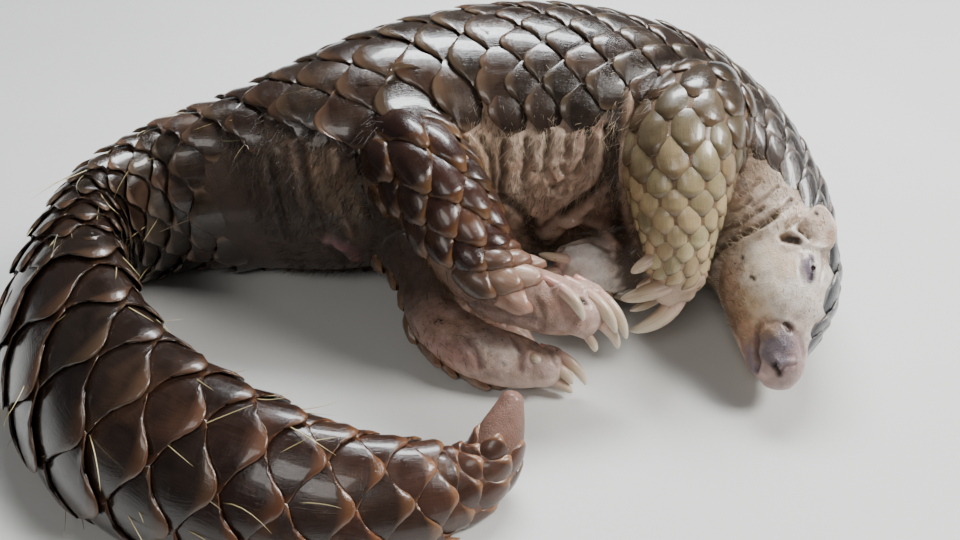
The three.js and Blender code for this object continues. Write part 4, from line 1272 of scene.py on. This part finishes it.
class Look:
    """A material in the making: its shader, and short calls for the nodes that feed it"""

    def __init__(self, name, **settings):
        self.material = bpy.data.materials.new(name)
        self.material.use_nodes = True
        self.tree = self.material.node_tree
        self.shader = self.tree.nodes["Principled BSDF"]
        self.where = self.node("TexCoord").outputs["Object"]
        self.feed(**settings)

    def plug(self, target, value):
        """A link where the value comes from a node, and a setting where it is a constant"""
        if isinstance(value, bpy.types.NodeSocket):
            self.tree.links.new(value, target)
        else:
            target.default_value = value

    def feed(self, **sockets):
        for name, value in sockets.items():
            self.plug(self.shader.inputs[name.replace("_", " ")], value)

    def node(self, kind, inputs=None, **settings):
        made = self.tree.nodes.new(f"ShaderNode{kind}")
        for key, value in settings.items():
            setattr(made, key, value)
        for socket, value in (inputs or {}).items():
            self.plug(made.inputs[socket], value)
        return made

    def noise(self, at, scale, detail=4.0, rough=0.6):
        inputs = {"Vector": at, "Scale": scale, "Detail": detail, "Roughness": rough}
        return self.node("TexNoise", inputs).outputs["Fac"]

    def cells(self, scale, feature="F1"):
        """How far each place is from the middle, or from the edge, of a small cell"""
        inputs = {"Vector": self.where, "Scale": scale}
        return self.node("TexVoronoi", inputs, feature=feature).outputs["Distance"]

    def ramp(self, factor, *stops):
        """Colours or greys along a factor"""
        made = self.node("ValToRGB", {"Fac": factor})
        elements = made.color_ramp.elements
        while len(elements) < len(stops):
            elements.new(0.5)
        for element, (position, colour) in zip(elements, stops):
            element.position = position
            grey = (colour,) * 3 if isinstance(colour, (int, float)) else colour
            element.color = (*grey, 1)
        return made.outputs["Color"]

    def mix(self, kind, factor, a, b):
        """Two colours, each from a node or a constant, blended by a factor"""
        made = self.node("Mix", {0: factor}, data_type="RGBA", blend_type=kind)
        for socket, value in ((6, a), (7, b)):
            self.plug(made.inputs[socket], (*value, 1) if isinstance(value, tuple) else value)
        return made.outputs[2]

    def maths(self, operation, *values):
        return self.node("Math", dict(enumerate(values)), operation=operation).outputs[0]

    def times(self, a, b):
        return self.maths("MULTIPLY", a, b)

    def read(self, name):
        """What a piece says at each of its corners"""
        return self.node("Attribute", attribute_name=name).outputs["Vector"]

    def parts(self, vector):
        return self.node("SeparateXYZ", {"Vector": vector}).outputs

    def stretched(self, vector, by):
        return self.node("VectorMath", {0: vector, 1: by}, operation="MULTIPLY").outputs[0]

    def bump(self, height, strength, distance):
        inputs = {"Height": height, "Strength": strength, "Distance": distance}
        self.feed(Normal=self.node("Bump", inputs).outputs["Normal"])


def scale_look():
    """Horn of each scute's own colour, paler and worn at the edge, finely striated and wet"""
    look = Look("horn", Coat_Weight=0.45, Coat_Roughness=0.08, IOR=1.5, Specular_IOR_Level=0.36)
    place = look.read("place")
    edge_colour = look.read("rim")
    across, length, _ = look.parts(place)
    # the striations run along each scute, and its growth lines across it
    striae = look.noise(look.stretched(place, (38.0, 2.2, 7.0)), 1.0, 3.0, 0.7)
    growth = look.noise(look.stretched(place, (1.5, 30.0, 9.0)), 1.0, 2.0)
    patches = look.ramp(look.noise(look.where, 60.0), (0.3, 0.55), (0.5, 0.95), (0.7, 1.0))
    colour = look.mix("MULTIPLY", 0.9, look.read("horn"), patches)
    colour = look.mix("MULTIPLY", 0.6, colour, look.ramp(striae, (0.32, 0.5), (0.62, 1.0)))
    colour = look.mix("MULTIPLY", 0.25, colour, look.ramp(growth, (0.35, 0.7), (0.6, 1.0)))
    amber = look.ramp(look.noise(look.where, 34.0, 2.0), (0.52, 0.0), (0.78, 0.4))
    colour = look.mix("MIX", amber, colour, edge_colour)
    side = look.times(look.maths("ABSOLUTE", across), look.maths("GREATER_THAN", length, 0.35))
    worn = look.ramp(look.maths("MAXIMUM", side, length), (0.78, 0.0), (0.92, 0.7), (1.0, 1.0))
    colour = look.mix("MIX", look.times(worn, 0.85), colour, edge_colour)
    rough = look.ramp(look.noise(look.where, 120.0), (0.35, 0.12), (0.7, 0.3))
    look.feed(Base_Color=colour, Roughness=rough)
    drops = look.times(look.ramp(look.cells(420.0), (0.0, 1.0), (0.4, 0.0)), 0.18)
    lines = look.maths("ADD", look.times(striae, 0.7), look.times(growth, 0.4))
    look.bump(look.maths("ADD", lines, drops), 0.4, 0.0005)
    return look


def skin_look():
    """Bare skin: its paint, pores, specks of dirt and a wet gloss"""
    look = Look(
        "skin", Coat_Weight=0.3, Coat_Roughness=0.16, Subsurface_Weight=0.18,
        Subsurface_Scale=0.004, Subsurface_Radius=(1.0, 0.45, 0.3), IOR=1.42,
    )
    where = look.where
    dirt, wet, _ = look.parts(look.read("mark"))
    mottle = look.ramp(look.noise(where, 90.0, 6.0, 0.7), (0.3, 0.5), (0.52, 1.0), (0.8, 1.15))
    colour = look.mix("MULTIPLY", 0.8, look.read("paint"), mottle)
    blush = look.ramp(look.noise(where, 38.0, 3.0), (0.45, 0.0), (0.7, 0.6))
    colour = look.mix("MULTIPLY", blush, colour, (1.0, 0.8, 0.76))
    tan = look.ramp(look.noise(where, 26.0, 4.0, 0.7), (0.48, 0.0), (0.7, 0.6))
    colour = look.mix("MULTIPLY", tan, colour, (0.84, 0.66, 0.46))
    patchy = look.ramp(look.noise(where, 75.0, 4.0, 0.7), (0.36, 0.0), (0.62, 1.0))
    # the dirt mark darkens the skin; on the cheek's left edge this is painted shade as well as dirt
    grime_and_shade = look.times(dirt, patchy)
    colour = look.mix("MIX", look.times(grime_and_shade, 0.5), colour, (0.13, 0.08, 0.05))
    # specks of dirt show where a fine noise is over a limit that is lower where the dirt mark, with
    # its painted shade, is strong
    limit = look.maths("SUBTRACT", 0.72, look.times(grime_and_shade, 0.16))
    over = look.maths("SUBTRACT", look.noise(where, 470.0, 3.0, 0.8), limit)
    specks = look.ramp(look.times(over, 16.0), (0.0, 0.0), (1.0, 1.0))
    colour = look.mix("MIX", specks, colour, (0.035, 0.022, 0.015))
    rough = look.maths("SUBTRACT", 0.56, look.times(wet, 0.4))
    rough = look.maths("ADD", rough, look.times(look.noise(where, 300.0), 0.15))
    look.feed(Base_Color=colour, Roughness=rough)
    fine = look.ramp(look.cells(700.0, "DISTANCE_TO_EDGE"), (0.0, 0.0), (0.12, 1.0))
    wrinkles = look.noise(where, 210.0, 6.0, 0.65)
    pits = look.times(look.noise(where, 900.0, 2.0), wet)
    height = look.maths("ADD", look.times(fine, 0.25), wrinkles)
    look.bump(look.maths("ADD", height, look.times(pits, 0.9)), 0.65, 0.001)
    return look


def claw_look():
    """Claw horn from its pink root to its pale tip, with lines along it and some dirt"""
    look = Look(
        "claw_horn", Coat_Weight=0.4, Coat_Roughness=0.12, IOR=1.5,
        Subsurface_Weight=0.1, Subsurface_Scale=0.003,
    )
    place = look.read("place")
    colour = look.ramp(
        look.parts(place)[0],
        (0.0, (0.56, 0.3, 0.25)), (0.2, (0.64, 0.45, 0.36)),
        (0.55, (0.62, 0.5, 0.36)), (1.0, (0.78, 0.7, 0.56)),
    )
    lines = look.noise(look.stretched(place, (1.6, 60.0, 1.0)), 1.0)
    shade = look.ramp(lines, (0.3, (0.6, 0.5, 0.4)), (0.65, 1.0))
    colour = look.mix("MULTIPLY", 0.7, colour, shade)
    dirt = look.ramp(look.noise(look.where, 260.0, 5.0, 0.75), (0.6, 0.0), (0.72, 0.75))
    colour = look.mix("MIX", dirt, colour, (0.12, 0.075, 0.04))
    look.feed(Base_Color=colour, Roughness=look.ramp(lines, (0.3, 0.26), (0.7, 0.42)))
    look.bump(lines, 0.35, 0.0004)
    return look


def hair_look():
    """Hair of each region's tint, each hair its own and paler to its tip"""
    look = Look("hair", Roughness=0.4, Coat_Weight=0.3, Coat_Roughness=0.25)
    length, own, _ = look.parts(look.read("place"))
    colour = look.mix("MULTIPLY", 1.0, look.read("tint"), look.ramp(own, (0.0, 0.35), (1.0, 1.3)))
    colour = look.mix("MULTIPLY", 1.0, colour, look.ramp(length, (0.0, 0.6), (1.0, 1.15)))
    look.feed(Base_Color=colour)
    return look


def mottled_look(name, scale, dark, light, **settings):
    """One material in two near tones, as of an eye or of the studio floor"""
    look = Look(name, **settings)
    look.feed(Base_Color=look.ramp(look.noise(look.where, scale), (0.3, dark), (0.7, light)))
    return look


# Stage

def make_camera():
    """The camera of the photograph"""
    data = bpy.data.cameras.new("camera")
    data.sensor_width = 36.0
    data.lens = data.sensor_width * FOCAL / PICTURE[0]
    data.clip_start = 0.01
    camera = bpy.data.objects.new("camera", data)
    camera.location = (Vector((0, 0, CAMERA_HEIGHT)) + Vector(SHIFT)) / 1000
    camera.rotation_euler = (math.radians(90 - CAMERA_PITCH), 0, 0)
    bpy.context.collection.objects.link(camera)
    bpy.context.scene.camera = camera


def make_light(name, at, aim, size, power, colour):
    """A soft rectangular lamp that points at a place"""
    data = bpy.data.lights.new(name, "AREA")
    data.shape = "RECTANGLE"
    data.size, data.size_y = size
    data.energy = power
    data.color = colour
    lamp = bpy.data.objects.new(name, data)
    lamp.location = at
    lamp.rotation_euler = (Vector(aim) - Vector(at)).to_track_quat("-Z", "Y").to_euler()
    bpy.context.collection.objects.link(lamp)


def make_stage():
    """A pale floor, a dim sky and three soft lamps"""
    floor = bpy.data.meshes.new("floor")
    corners = [(-FLOOR, -FLOOR, 0), (FLOOR, -FLOOR, 0), (FLOOR, FLOOR, 0), (-FLOOR, FLOOR, 0)]
    floor.from_pydata(corners, [], [(0, 1, 2, 3)])
    look = mottled_look("floor", 3.0, (0.6, 0.6, 0.58), (0.66, 0.66, 0.64), Roughness=0.6)
    floor.materials.append(look.material)
    plane = bpy.data.objects.new("floor", floor)
    bpy.context.collection.objects.link(plane)
    world = bpy.data.worlds.new("studio")
    world.use_nodes = True
    sky = world.node_tree.nodes["Background"].inputs
    sky["Color"].default_value = (0.8, 0.85, 0.9, 1)
    sky["Strength"].default_value = 0.1
    bpy.context.scene.world = world
    for light in LIGHTS:
        make_light(*light)


make_camera()
make_stage()
skin, skin_tree = finished_skin()
make_scales(skin_tree)
make_claws()
make_hair(skin_tree)

# the skin takes the place of every solid but the claws and the eyes
flesh = [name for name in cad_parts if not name.startswith(("claw", "eye"))]
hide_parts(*flesh)
for side in ("right", "left"):
    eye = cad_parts[f"eye_{side}"]
    gloss = dict(Roughness=0.06, Coat_Weight=1.0, Coat_Roughness=0.02)
    look = mottled_look("eye_gloss", 500.0, *EYE_TONES, **gloss)
    eye.data.materials.clear()
    eye.data.materials.append(look.material)
